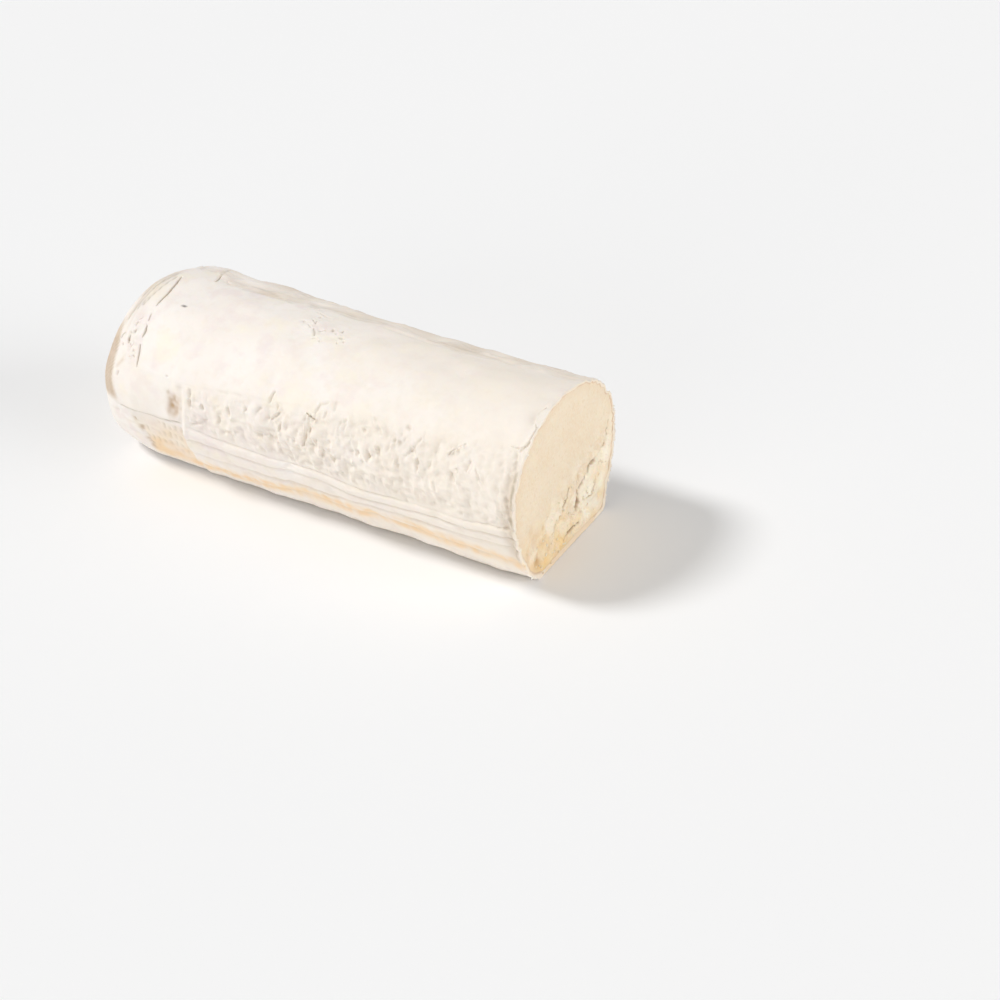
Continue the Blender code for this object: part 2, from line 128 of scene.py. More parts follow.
# The crown's uneven line, strongest behind its top: (x, rise)
CROWN_LINE = ((-90, 0.2), (-78, 1.0), (-67, 0.1), (-45, 0.75), (-22, -0.2), (20, -0.9), (40, -0.75),
              (60, -0.4), (76, 0.2), (94, 0.1))
CROWN_LINE_GIRTH = 126.0
CROWN_LINE_REACH = 34.0
# The pinch in the near side, two deep dimples: (x, reach, girth, reach)
PINCHES = ((-17.5, 2.8, 68, 9), (-13, 3, 54, 7))
PINCH_DEPTH = 0.9

# The crease where the wrapper was folded over the rounded end: (girth, x)
CREASE_LINE = ((0, -77.5), (40, -77.5), (57, -78.6), (83, -82.0), (104, -83.0), (140, -81.5), (199, -78.0))
CREASE_DEPTH = 0.2
# Pitch of the net print, on the flat of that end and, round and along, on its edge
FLAT_NET_PITCH = (4.2, 4.2)
EDGE_NET_PITCH = (1.9, 2.1)

# Crisp cuts, pits and curls, with a finer mesh along them: (x, girth) points, half width, depth, darkness
# of the painted shade in the cut
CRISP_MARKS = (
    # The creases at the rounded end, each a tapered cut
    (((-83.4, 102.0), (-82.1, 96.5), (-81.6, 90.0), (-82.1, 83.5)), 0.4, 0.8, 0.72),
    (((-82.0, 79.4), (-81.4, 76.2)), 0.26, 0.4, 0.45),
    (((-81.2, 74.2), (-80.5, 72.1), (-80.5, 69.0)), 0.34, 0.7, 0.7),
    (((-80.2, 66.0), (-79.5, 63.2), (-78.9, 58.4), (-78.6, 57.2)), 0.28, 0.6, 0.62),
    # The crackle beside them
    (((-86.5, 68.4), (-86.6, 66.3), (-85.8, 65.2)), 0.48, 0.8, 1.0),
    (((-84.9, 65.2), (-83.7, 63.8), (-83.0, 65.6)), 0.28, 0.4, 0.5),
    (((-91.2, 66.6), (-91.0, 68.3), (-89.8, 69.2)), 0.36, 0.5, 0.6),
    (((-86.0, 72.8), (-85.9, 74.8)), 0.34, 0.4, 0.5),
    (((-84.7, 77.0), (-85.8, 75.8)), 0.34, 0.3, 0.35),
    (((-86.9, 69.8), (-86.2, 69.4)), 0.42, 0.5, 0.55),
    (((-85.0, 70.0), (-84.8, 70.9)), 0.42, 0.5, 0.55),
    (((-89.3, 64.8), (-88.9, 64.0)), 0.36, 0.4, 0.45),
    (((-82.3, 63.2), (-81.9, 62.5)), 0.34, 0.4, 0.4),
    (((-81.7, 60.9), (-81.1, 60.5)), 0.4, 0.4, 0.45),
    (((-83.5, 60.2), (-83.0, 60.0)), 0.34, 0.3, 0.35),
    (((-87.6, 53.1), (-87.9, 51.4)), 0.5, 0.5, 0.5),
    # The crackle on the crown
    (((-14.8, 95.2), (-13.0, 93.4), (-12.1, 91.8)), 0.44, 0.5, 0.62),
    (((-18.6, 100.2), (-15.9, 98.2), (-16.5, 99.9)), 0.36, 0.5, 0.45),
    (((-18.6, 96.8), (-16.0, 95.2)), 0.3, 0.3, 0.35),
    (((-12.2, 95.0), (-9.6, 96.4)), 0.32, 0.4, 0.5),
    (((-7.9, 98.4), (-7.3, 97.5)), 0.62, 0.6, 0.65),
    (((-3.9, 99.6), (-3.7, 98.2)), 0.46, 0.6, 0.6),
    (((-2.3, 94.7), (-1.2, 94.9)), 0.5, 0.6, 0.65),
    (((-5.6, 97.0), (-5.0, 96.0)), 0.42, 0.3, 0.25),
    (((-1.7, 92.0), (-1.3, 91.3)), 0.36, 0.3, 0.28),
    (((0.3, 93.8), (0.5, 92.9)), 0.34, 0.3, 0.28),
    (((-12.0, 90.2), (-11.0, 90.9)), 0.3, 0.3, 0.25),
    (((-8.8, 90.4), (-8.2, 89.6)), 0.3, 0.3, 0.25),
    (((-17.7, 104.0), (-17.1, 102.8)), 0.42, 0.4, 0.4),
    (((-21.7, 98.0), (-20.9, 97.8)), 0.46, 0.5, 0.45),
    # Folds that meet behind the crown
    (((-21.3, 106.8), (-19.4, 106.6), (-16.2, 105.3), (-13.5, 105.4)), 0.38, 0.4, 0.5),
    (((-27.6, 106.6), (-24.8, 108.5), (-22.8, 110.5)), 0.36, 0.4, 0.45),
    (((-70.6, 106.9), (-71.6, 110.2), (-72.8, 113.5)), 0.36, 0.6, 0.6),
    (((-68.6, 112.0), (-63.4, 109.4), (-59.6, 109.0)), 0.34, 0.4, 0.3),
    # Dents beside the thin patch
    (((-63.9, 57.3), (-63.2, 57.2)), 0.39, 0.36, 0.3),
    (((-51.9, 55.0), (-51.3, 52.1)), 0.48, 0.54, 0.28),
    (((-51.2, 51.0), (-50.6, 48.3)), 0.55, 0.63, 0.38),
    (((-45.5, 50.5), (-44.8, 48.9)), 0.6, 0.63, 0.42),
    (((-32.7, 52.6), (-31.8, 49.8)), 0.71, 0.63, 0.38),
    (((-37.6, 47.6), (-37.2, 45.3)), 0.51, 0.54, 0.28),
    (((-24.9, 54.5), (-24.7, 53.7)), 0.46, 0.45, 0.23),
    (((-50.6, 40.7), (-46.7, 42.0), (-43.2, 44.8)), 0.57, 0.54, 0.2),
    (((-35.4, 41.0), (-31.4, 42.8)), 0.69, 0.45, 0.12),
    # The pinch and the creases under it
    (((-14.7, 64.2), (-15.3, 62.2), (-15.9, 59.4)), 0.55, 0.72, 0.3),
    (((-12.0, 60.0), (-11.6, 57.3)), 0.51, 0.54, 0.25),
    (((-10.8, 56.6), (-11.6, 55.0), (-13.5, 53.2)), 0.64, 0.72, 0.35),
    (((-8.8, 53.6), (-8.8, 49.6)), 0.39, 0.54, 0.35),
    (((-9.7, 47.8), (-10.2, 45.2)), 0.63, 0.45, 0.2),
    (((-18.8, 45.2), (-14.4, 46.3)), 0.8, 0.36, 0.15),
    # A slit, and the upright creases round it
    (((2.0, 59.9), (5.9, 58.4)), 0.36, 0.5, 1.0),
    (((9.8, 66.1), (6.6, 64.6), (5.4, 60.8)), 0.55, 0.63, 0.25),
    (((12.5, 67.2), (13.1, 64.1)), 0.76, 0.45, 0.2),
    (((10.0, 62.6), (9.9, 60.4)), 0.55, 0.54, 0.25),
    (((4.8, 56.2), (4.8, 53.1)), 0.39, 0.54, 0.35),
    (((3.6, 52.3), (2.5, 47.2)), 0.55, 0.63, 0.28),
    (((6.4, 51.2), (7.2, 48.4)), 0.51, 0.54, 0.28),
    (((11.1, 46.9), (11.6, 44.8)), 0.53, 0.54, 0.3),
    (((16.0, 46.6), (16.4, 43.8)), 0.53, 0.54, 0.3),
    (((16.8, 57.3), (18.0, 55.2)), 0.51, 0.45, 0.2),
    (((18.0, 59.4), (19.4, 62.1)), 0.51, 0.45, 0.17),
    (((22.9, 56.3), (23.4, 54.8)), 0.51, 0.45, 0.23),
    (((26.7, 52.0), (27.5, 50.9)), 0.51, 0.45, 0.25),
    (((28.0, 60.6), (28.8, 59.5)), 0.57, 0.45, 0.23),
    (((30.5, 65.9), (31.7, 65.0)), 0.57, 0.36, 0.2),
    (((31.8, 52.2), (32.3, 51.0)), 0.6, 0.54, 0.33),
    (((33.6, 63.0), (35.8, 60.5)), 0.51, 0.45, 0.2),
    (((35.4, 55.8), (36.8, 52.6)), 0.48, 0.45, 0.28),
    (((40.3, 59.0), (42.3, 60.8)), 0.53, 0.36, 0.2),
    # Marks farther along, and a scar
    (((45.0, 66.5), (46.5, 66.0)), 0.71, 0.45, 0.23),
    (((52.8, 64.2), (50.4, 59.3), (47.8, 55.8)), 0.6, 0.54, 0.23),
    (((52.9, 56.6), (53.7, 51.6)), 0.55, 0.63, 0.33),
    (((61.1, 49.9), (62.2, 46.7)), 0.51, 0.45, 0.23),
    (((67.5, 55.3), (68.2, 53.4), (69.7, 52.2)), 0.48, 0.54, 0.35),
    (((69.3, 57.1), (70.2, 55.9)), 0.39, 0.36, 0.23),
    (((73.6, 61.3), (73.3, 57.2)), 0.41, 0.36, 0.14),
    (((76.3, 58.8), (77.7, 57.3), (79.1, 54.8)), 0.37, 0.36, 0.2),
    (((90.9, 66.3), (90.4, 62.6)), 0.8, 0.45, 0.28),
    (((91.6, 71.7), (90.7, 70.4)), 0.51, 0.45, 0.3),
    (((64.9, 61.3), (66.2, 63.2)), 0.24, 0.4, 0.6),
    (((66.2, 63.2), (68.0, 65.2), (70.0, 66.9)), 0.22, 0.3, 0.18),
    # The crack along the rim
    (((92.0, 90.6), (91.4, 88.0), (90.9, 86.6)), 0.39, 0.54, 0.4),
    (((91.3, 86.6), (91.8, 84.7), (92.4, 82.1), (93.2, 80.2)), 0.34, 0.54, 0.35),
    (((93.2, 80.2), (93.2, 77.6), (92.8, 75.0)), 0.3, 0.45, 0.17),
    (((93.0, 74.6), (92.4, 73.0), (91.6, 72.2)), 0.57, 0.72, 0.47),
    (((91.6, 72.2), (89.6, 71.2), (86.6, 71.0)), 0.28, 0.36, 0.2),
)
# The mesh is finer within this reach of a mark, and finer still close to the thin ones
FINE_REACH = 0.85
FINE_LEVELS = 2
WIDE_MARK = 0.42

# The rim beside the cut
VALLEY_DISTANCE = 3.6
VALLEY_DEPTH = 0.7
LIP_HEIGHT = 0.12
# The raised corner of rind at the far base edge of the cut
CORNER_GIRTH = 192.0
CORNER_RISE = 2.4
# The loosened sliver at the rim
SLIVER_END = 93.9
SLIVER_WIDTH = 2.6
SLIVER_GIRTH = 85.6
SLIVER_HALF_HEIGHT = 4.6
SLIVER_LIFT = 0.32
SLIVER_CURL = 0.75
SLIVER_THICKNESS = 0.38
# Flakes along the rim: first and last place round the section, and how many lie between them
FLAKE_RUNS = ((2.08, 2.62, 26), (2.62, 2.95, 16), (0.03, 0.35, 12), (1.05, 1.35, 6))
FLAKE_SIZES = (0.3, 0.75)
# Thickness of the rind at the cut: (girth, thickness)
RIND_THICKNESS = ((0, 3.0), (10, 1.9), (26, 1.4), (44, 1.3), (80, 1.15), (110, 1.1), (146, 1.4), (172, 2.4),
                  (190, 3.0), (199, 3.0))

# The line above which the near side is smooth, and the one where it turns beige, as (x, girth)
STEP_LINE = ((-62.0, 56.3), (-14.3, 60.3), (38.3, 66.4), (66.3, 68.7), (87.6, 72.1), (95.3, 75.2))
REAR_LINE = ((-86, 118), (-74, 113), (-58, 106.5), (-35.6, 108.5), (-11, 110.8), (15, 110), (42, 110.8),
             (67, 112.8), (95, 116))

# How crumpled the near side is: (x, strength), and how far the crumple lies below the plain skin
CRUMPLE_LINE = ((-57, 0.0), (-50, 0.6), (-30, 0.75), (-8, 1.0), (8, 1.0), (55, 0.95), (80, 0.75), (96, 0.7))
CRUMPLE_SINK = 0.4
# Rounded dents in the near side: (x, girth, half width, half height, depth)
DENTS = (
    (-51.2, 50.6, 0.9, 3.4, 0.45), (-45.1, 49.7, 1.0, 1.6, 0.5), (-32.3, 51.2, 1.1, 2.2, 0.55),
    (-37.4, 46.4, 0.9, 1.6, 0.45), (-12.3, 51.5, 3.8, 9.0, 0.55), (4.2, 51.4, 1.6, 4.6, 0.45),
    (45.8, 66.2, 1.2, 1.2, 0.45), (68.4, 53.8, 1.4, 2.0, 0.4), (53.3, 54.0, 1.2, 3.0, 0.4),
    (-90.3, 35.8, 0.9, 0.9, 0.7), (-91.9, 31.2, 0.9, 1.1, 0.8),
)
# Tall shallow folds on the near side: tops and bottoms (x, girth) of the first and the last
FOLD_TOPS = ((7.3, 62.0), (44.0, 60.0))
FOLD_BOTTOMS = ((9.0, 43.0), (48.0, 40.0))
FOLD_COUNT = 10
# Faint ochre spots under the pinch: middle (x, girth) and half size
OCHRE_SPOTS = (((-12.0, 45.2), (6.0, 2.2)), ((-8.0, 41.2), (3.6, 1.4)))

# Creases at the corner behind the crown: points (x, girth), half width, depth
REAR_CREASES = (
    (((-72.8, 113.5), (-78.3, 125.9)), 0.5, 0.5),
    (((-82.4, 113.3), (-87.5, 122.9)), 0.45, 0.45),
    (((-58.2, 113.5), (-48.0, 113.1), (-34.3, 107.9)), 0.45, 0.4),
    (((-30, 113), (-14, 115.5), (6, 114)), 0.5, 0.3),
    (((26, 113), (44, 116), (58, 114.5)), 0.5, 0.3),
)
# Facets on the strip behind the crown: middle (x, girth), half size, how sharp their edge is, strength
FACETS = (((-64, 112.5), (6.5, 4.5), 1.8, 1.0), ((-48, 110.5), (5, 2.2), 1.6, 0.8),
          ((-80, 119), (4.5, 5), 1.6, 0.7))
# Streaks pressed into the shoulder behind the crease
END_STREAKS = (
    (((-92.3, 75.6), (-91.6, 80.9), (-90.7, 86.8), (-89.4, 97.3), (-88.4, 107.9)), 0.5, 0.5),
    (((-88.8, 82.9), (-86.8, 91.4), (-85.3, 101.3)), 0.4, 0.45),
    (((-90.2, 92.0), (-88.0, 99.0), (-86.6, 106.0)), 0.35, 0.4),
    (((-92.8, 88.0), (-91.4, 97.0), (-90.4, 109.0)), 0.45, 0.45),
    (((-90.6, 80.0), (-89.0, 87.0)), 0.35, 0.35),
)
# A brown scratch below them
END_SCRATCH = ((-86.5, 58.2), (-88.8, 55.0))
# The one dark fleck
FLECK = (-70.6, 86.4)
FLECK_HALF_SIZE = (0.95, 0.5)

# The cut face: (across, up) points, half width, depth, and how dark the painted shade in the crack is
CRACKS = (
    (((35.0, 38.0), (32.6, 32.3), (29.4, 29.1), (24.1, 27.3)), 0.26, 0.9, 0.7),
    (((24.1, 27.3), (20.4, 27.0), (18.1, 26.0), (15.7, 23.1), (11.8, 21.2)), 0.58, 2.2, 1.0),
    (((9.3, 21.5), (9.8, 19.1)), 0.34, 1.2, 0.9),
    (((23.7, 19.2), (22.1, 15.6), (18.9, 13.2), (14.5, 13.7)), 0.24, 0.9, 0.6),
    (((2.8, 25.4), (1.6, 22.4), (-2.9, 21.0)), 0.42, 1.5, 1.0),
    (((-2.9, 21.0), (-5.2, 18.2), (-8.3, 15.9), (-11.3, 13.2)), 0.3, 0.9, 0.7),
    (((9.7, 7.1), (5.2, 7.7), (1.5, 7.5), (-2.9, 6.5)), 0.38, 1.3, 0.95),
)
# A pit in the cut face, darkened with painted shade
PIT = (8.0, 15.9)
PIT_HALF_SIZE = (1.5, 2.3)
PIT_DEPTH = 3.0
# Stains in the paste: (across, up, half width, half height, strength)
STAINS = ((-24.0, 8.8, 2.5, 3.2, 1.0), (-27.7, 25.0, 1.6, 2.6, 0.35), (-25.0, 20.0, 2.8, 2.8, 0.45),
          (-19.8, 15.6, 2.6, 2.2, 0.45), (-14.4, 10.6, 2.2, 1.8, 0.35), (-18.7, 21.5, 0.9, 1.1, 0.7),
          (10.6, 26.1, 1.3, 1.5, 0.5), (-30.5, 15.5, 1.3, 3.5, 0.4))
# The line beyond which the paste is paler: (up, across)
PALE_EDGE = ((6, 2), (15, 8), (20, 10), (22.3, 13), (24.9, 16.5), (26.8, 19.5), (28.1, 25.7), (29.3, 29.9),
             (34.5, 33.4), (46, 37), (60, 60))
CRUMB_TRIES = 90
CRUMB_SIZES = (0.22, 0.7)
PASTE_COLUMNS = 270
PASTE_ROWS = 240
PASTE_OVERLAP = 0.3
PASTE_RECESS = 0.12
PASTE_BACK = 15.0

# The camera, as seen from the log's middle
CAMERA_AZIMUTH = math.radians(34.08)
CAMERA_ELEVATION = math.radians(33.33)
CAMERA_ROLL = math.radians(-2.54)
CAMERA_DISTANCE = 1158.7
FOCAL_PIXELS = 3000.0
PICTURE_MIDDLE = 500.0
LOG_MIDDLE_PIXEL = (358.94, 408.46)
SENSOR_WIDTH = 36.0

# Soft lights: name, the way they lie, spread in degrees, share of full brightness
LAMPS = (
    ("key", (-0.6, -0.28, 0.75), 14.0, 0.495),
    ("cut_fill", (0.93, 0.1, 0.3), 40.0, 0.37),
    ("front_fill", (0.0, -0.98, 0.02), 50.0, 0.295),
)
SKY_BRIGHTNESS = 0.44
BUMP_STRENGTH = 0.6
FLOOR_HALF_SIZE = 3.0


def ease(low, high, value):
    """0 below low, 1 above high, and a smooth step between."""
    share = np.clip((value - low) / (high - low), 0.0, 1.0)
    return share * share * (3.0 - 2.0 * share)


def window(rise, fall, value):
    """1 between two eased edges and 0 outside them, each edge as the place where it starts and ends."""
    return ease(*rise, value) * (1 - ease(*fall, value))


def bell(value, middle, reach):
    return np.exp(-(((value - middle) / reach) ** 2))


def spot(along, across, middle, half_size, power=1.0):
    """1 in the middle of an oval and 0 well outside it."""
    apart = ((along - middle[0]) / half_size[0]) ** 2 + ((across - middle[1]) / half_size[1]) ** 2
    return np.exp(-(apart ** power))


def eased_line(place, points):
    """The value at a place of a line that eases from one (place, value) point to the next."""
    places = np.array([point[0] for point in points], float)
    values = np.array([point[1] for point in points], float)
    place = np.clip(place, places[0], places[-1])
    left = np.clip(np.searchsorted(places, place, side="right") - 1, 0, len(places) - 2)
    share = ease(0.0, 1.0, (place - places[left]) / (places[left + 1] - places[left]))
    return values[left] + (values[left + 1] - values[left]) * share


def distance_to_line(along, across, line):
    """Shortest distance from each (along, across) to a line of points."""
    best = np.full_like(along, 1e9)
    for (a0, b0), (a1, b1) in zip(line, line[1:]):
        run = (a1 - a0) ** 2 + (b1 - b0) ** 2
        share = np.clip(((along - a0) * (a1 - a0) + (across - b0) * (b1 - b0)) / run, 0.0, 1.0)
        best = np.minimum(best, np.hypot(along - a0 - share * (a1 - a0), across - b0 - share * (b1 - b0)))
    return best


def lumps(points, size, shift, stretch=(1.0, 1.0, 1.0)):
    """Smooth noise between about -1 and 1 at each point, with lumps of that size."""
    offset = np.array([shift, 2.3 * shift, -1.7 * shift])
    scaled = points * (np.array(stretch) / size) + offset
    return np.array([noise.noise(point) for point in scaled.tolist()])


def folds(points, size, shift, stretch=(1.0, 1.0, 1.0)):
    """Noise with sharp crests, from about -1 between them to 1 on them."""
    return 1.0 - 3.2 * np.abs(lumps(points, size, shift, stretch))


def shards(points, size, shift):
    """Random height from -1 to 1 of the crumb that each point is in."""
    scaled = points / size + shift
    return np.array([noise.cell(noise.voronoi(point)[1][0] * 7.3) for point in scaled.tolist()])


def section_curve(count=400):
    """Girth, y, z and outward normal of the section, from the near base edge over to the far one."""
    turn = np.linspace(0.0, math.pi / 2, count)
    half = WIDTH / 2
    low_y = BASE_HALF_WIDTH + (half - BASE_HALF_WIDTH) * np.cos(turn) ** (2 / LOWER_ROUNDNESS)
    low_z = WIDEST_HEIGHT * (1 - np.sin(turn) ** (2 / LOWER_ROUNDNESS))
    high_y = half * np.cos(turn) ** (2 / UPPER_ROUNDNESS)
    high_z = WIDEST_HEIGHT + (HEIGHT - WIDEST_HEIGHT) * np.sin(turn) ** (2 / UPPER_ROUNDNESS)
    y = np.concatenate([low_y[::-1], high_y[1:]])
    z = np.concatenate([low_z[::-1], high_z[1:]])
    y = np.concatenate([-y, y[::-1][1:]])
    z = np.concatenate([z, z[::-1][1:]])
    y = y + LEAN * (z - WIDEST_HEIGHT)
    girth = np.concatenate([[0.0], np.cumsum(np.hypot(np.diff(y), np.diff(z)))])
    along_y = np.gradient(y, girth)
    along_z = np.gradient(z, girth)
    length = np.hypot(along_y, along_z)
    return girth, y, z, -along_z / length, along_y / length


GIRTH, CURVE_Y, CURVE_Z, NORMAL_Y, NORMAL_Z = section_curve()
FULL_GIRTH = GIRTH[-1]


def plain_section(girth):
    """y and z of the plain section at a girth, and y and z of its outward normal."""
    return [np.interp(girth, GIRTH, values) for values in (CURVE_Y, CURVE_Z, NORMAL_Y, NORMAL_Z)]


def station_places():
    """x of each ring of the skin, and the share of the shoulder's turn that it has made."""
    places = []
    turns = []
    for step in range(SHOULDER_STATIONS + 1):
        angle = math.pi / 2 * (1 - step / SHOULDER_STATIONS)
        places.append(SHOULDER_START - SHOULDER_DEPTH * math.sin(angle))
        turns.append(1 - math.cos(angle))
    for length, gap in STATION_RUNS:
        start = places[-1]
        steps = round(length / gap)
        for step in range(1, steps + 1):
            places.append(start + length * step / steps)
            turns.append(0.0)
    return np.array(places), np.array(turns)


PLACES, TURNS = station_places()


def groove_girths(x, grooves):
    """Girth of each groove at x, from the base edge up, with the base edge first."""
    return [np.zeros_like(x)] + [eased_line(x, line) for line in grooves]


def side_girth(share, x, grooves):
    """Girth up from a base edge, for a share from 0 to 1 of the side's columns. They follow the grooves."""
    edges = groove_girths(x, grooves) + [np.full_like(x, SIDE_GIRTH)]
    marks = [RIDGE_COLUMNS * i / SIDE_COLUMNS for i in range(len(grooves) + 1)] + [1.0]
    girth = np.zeros_like(x)
    for i in range(len(edges) - 1):
        inside = (share >= marks[i]) & (share <= marks[i + 1])
        part = (share - marks[i]) / (marks[i + 1] - marks[i])
        girth = np.where(inside, edges[i] + (edges[i + 1] - edges[i]) * part, girth)
    return girth


def ridge_wave(girth, x, grooves):
    """0 in each groove and 1 on each ridge between them, fading to 0 above the top groove."""
    edges = groove_girths(x, grooves)
    wave = np.zeros_like(x)
    for i in range(len(edges) - 1):
        part = np.clip((girth - edges[i]) / (edges[i + 1] - edges[i]), 0.0, 1.0)
        wave = np.maximum(wave, np.sin(part * math.pi) ** 0.5)
    return wave


def around_to_girth(around, x):
    """Girth for a place around the cube: 0 to 1 near side, to 2 crown, to 3 far side."""
    near = side_girth(np.clip(around, 0.0, 1.0), x, NEAR_GROOVES)
    crown = SIDE_GIRTH + (FULL_GIRTH - 2 * SIDE_GIRTH) * np.clip(around - 1.0, 0.0, 1.0)
    far = FULL_GIRTH - side_girth(np.clip(3.0 - around, 0.0, 1.0), x, FAR_GROOVES)
    return np.where(around <= 1.0, near, np.where(around <= 2.0, crown, far))


def thick_rind(x):
    """0 on the thin patch beside the rounded end and 1 past its edge."""
    return ease(BARE_PATCH_X[1] - 1.0, BARE_PATCH_X[1] + 1.5, x)


def bare_patch(x, girth):
    """1 on the thin patch and 0 outside it."""
    low, high = BARE_PATCH_GIRTH
    patch = ease(BARE_PATCH_X[0], BARE_PATCH_X[0] + 2, x) * (1 - thick_rind(x))
    return patch * window((low, low + 3), (high, high + 2), girth)


def main_relief(x, girth, points):
    """How far the skin stands out from the plain section: the forms that the solid has too."""
    relief = RIDGE_HEIGHT * thick_rind(x) * ridge_wave(girth, x, NEAR_GROOVES)
    relief += RIDGE_HEIGHT * 0.8 * ridge_wave(FULL_GIRTH - girth, x, FAR_GROOVES)
    relief += eased_line(x, CROWN_LINE) * bell(girth, CROWN_LINE_GIRTH, CROWN_LINE_REACH)
    relief += 0.55 * lumps(points, 30, 3.1) + 0.35 * lumps(points, 12, 7.7)

    relief += 0.5 * window((36, 42), (64, 76), girth) * lumps(points, 8, 5.2, (1.6, 0.7, 0.7))
    for place, reach, height, high_reach in PINCHES:
        relief -= PINCH_DEPTH * bell(x, place, reach) * bell(girth, height, high_reach)
    relief -= BARE_PATCH_DEPTH * bare_patch(x, girth)
    relief -= BARE_SPOT_DEPTH * spot(x, girth, BARE_SPOT, BARE_SPOT_HALF_SIZE, 2.0)

    crease_depth = CREASE_DEPTH * (0.3 + 0.7 * bell(girth, 84, 26))
    relief -= crease_depth * bell(x, eased_line(girth, CREASE_LINE), 1.0)

    before_cut = CUT_PLACE - x
    near_rim = window((20, 32), (60, 80), girth)
    relief -= VALLEY_DEPTH * bell(before_cut, VALLEY_DISTANCE, 1.8) * (0.25 + 0.75 * near_rim)
    relief += LIP_HEIGHT * bell(before_cut, 0.6, 1.2) * (0.3 + 0.7 * near_rim)
    relief += CORNER_RISE * bell(girth, CORNER_GIRTH, 3.2) * bell(before_cut, 0.0, 5.0)
    return relief


def raise_mask(marks, name, values):
    """Raises a mask to the values wherever they are higher."""
    marks[name] = np.maximum(marks[name], values)


def pressed_lines(x, girth, marks, lines, darkness):
    """Relief of lines pressed into the skin, each with a low lip beside it and painted shade along the
    line, as dark as its darkness.
    """
    relief = np.zeros_like(x)
    for line, half_width, depth in lines:
        away = distance_to_line(x, girth, line)
        pressed = bell(away, 0.0, half_width)
        relief += depth * (0.3 * bell(away, 2.1 * half_width, 0.9 * half_width) - pressed)
        raise_mask(marks, "shade_and_print", darkness * pressed)
    return relief


def crisp_detail(x, girth, flat, marks):
    """The crisp marks, each a line that thins out towards its ends, with a low lip beside it and painted
    shade along the line.
    """
    relief = np.zeros_like(x)
    wavy_x = x + 0.12 * lumps(flat, 1.1, 64.0)
    wavy_girth = girth + 0.12 * lumps(flat, 1.1, 65.0)
    for line, half_width, depth, darkness in CRISP_MARKS:
        ends = np.array([line[0], line[-1]])
        middle = ends.mean(0)
        reach = 0.5 * np.hypot(*(ends[1] - ends[0])) + half_width
        apart = np.hypot(x - middle[0], girth - middle[1]) / reach
        taper = 0.25 + 0.75 * np.clip(1 - apart ** 2, 0.0, 1.0)
        away = distance_to_line(wavy_x, wavy_girth, line)
        cut = bell(away, 0.0, half_width * taper)
        relief += depth * (0.22 * bell(away, 2.2 * half_width, 0.8 * half_width) - cut)
        # Painted shade in the cut
        raise_mask(marks, "shade_and_print", darkness * cut)
    return relief


def crumple_zone(x, girth):
    """How crumpled the skin is: the near side below its smooth upper part, and the far side alike."""
    top = eased_line(x, STEP_LINE)
    near = eased_line(x, CRUMPLE_LINE) * window((36, 40), (top - 4, top + 1), girth)
    soft = 0.2 * window((-8, 8), (60, 84), x) * window((top - 2, top), (74, 92), girth)
    far = 0.75 * window((36, 41), (58, 66), FULL_GIRTH - girth) * ease(-84, -70, x)
    return np.maximum(np.maximum(near, soft), far)


def crumple_relief(girth, flat):
    """Upright wrinkles, short slanted dimples and small lumps, and the painted shade for the hollows among
    them.
    """
    bent = flat.copy()
    bent[:, 0] += 0.22 * (girth - 50) + 2.4 * lumps(flat, 10, 4.4)
    upright = folds(bent, 1.0, 5.5, (1 / 4.2, 1 / 7.5, 1))
    small = folds(bent, 1.0, 8.9, (1 / 2.2, 1 / 3.2, 1))
    dimples = ease(0.15, 0.5, lumps(bent, 1.0, 46.0, (1 / 1.5, 1 / 2.6, 1)))
    little = lumps(flat, 2.1, 6.1)
    relief = 0.5 * upright + 0.44 * small + 0.44 * little - 0.4 * dimples
    return relief, 0.16 * dimples + 0.12 * ease(0.0, 0.45, -little)


def fold_relief(x, girth, flat):
    """The row of tall folds in the middle of the near side, broken here and there."""
    relief = np.zeros_like(x)
    for i in range(FOLD_COUNT):
        share = i / (FOLD_COUNT - 1)
        top, bottom = ([first + (last - first) * share for first, last in zip(*ends)]
                       for ends in (FOLD_TOPS, FOLD_BOTTOMS))
        swing = 1.1 * math.sin(2.4 * i)
        bottom[1] += 4.0 * math.cos(3.1 * i)
        line = (top, (top[0] * 0.6 + bottom[0] * 0.4 + swing, top[1] * 0.6 + bottom[1] * 0.4), bottom)
        relief -= (0.4 - 0.14 * math.sin(1.9 * i)) * bell(distance_to_line(x, girth, line), 0.0, 0.8)
    return relief * ease(-0.25, 0.25, lumps(flat, 4.5, 24.5))


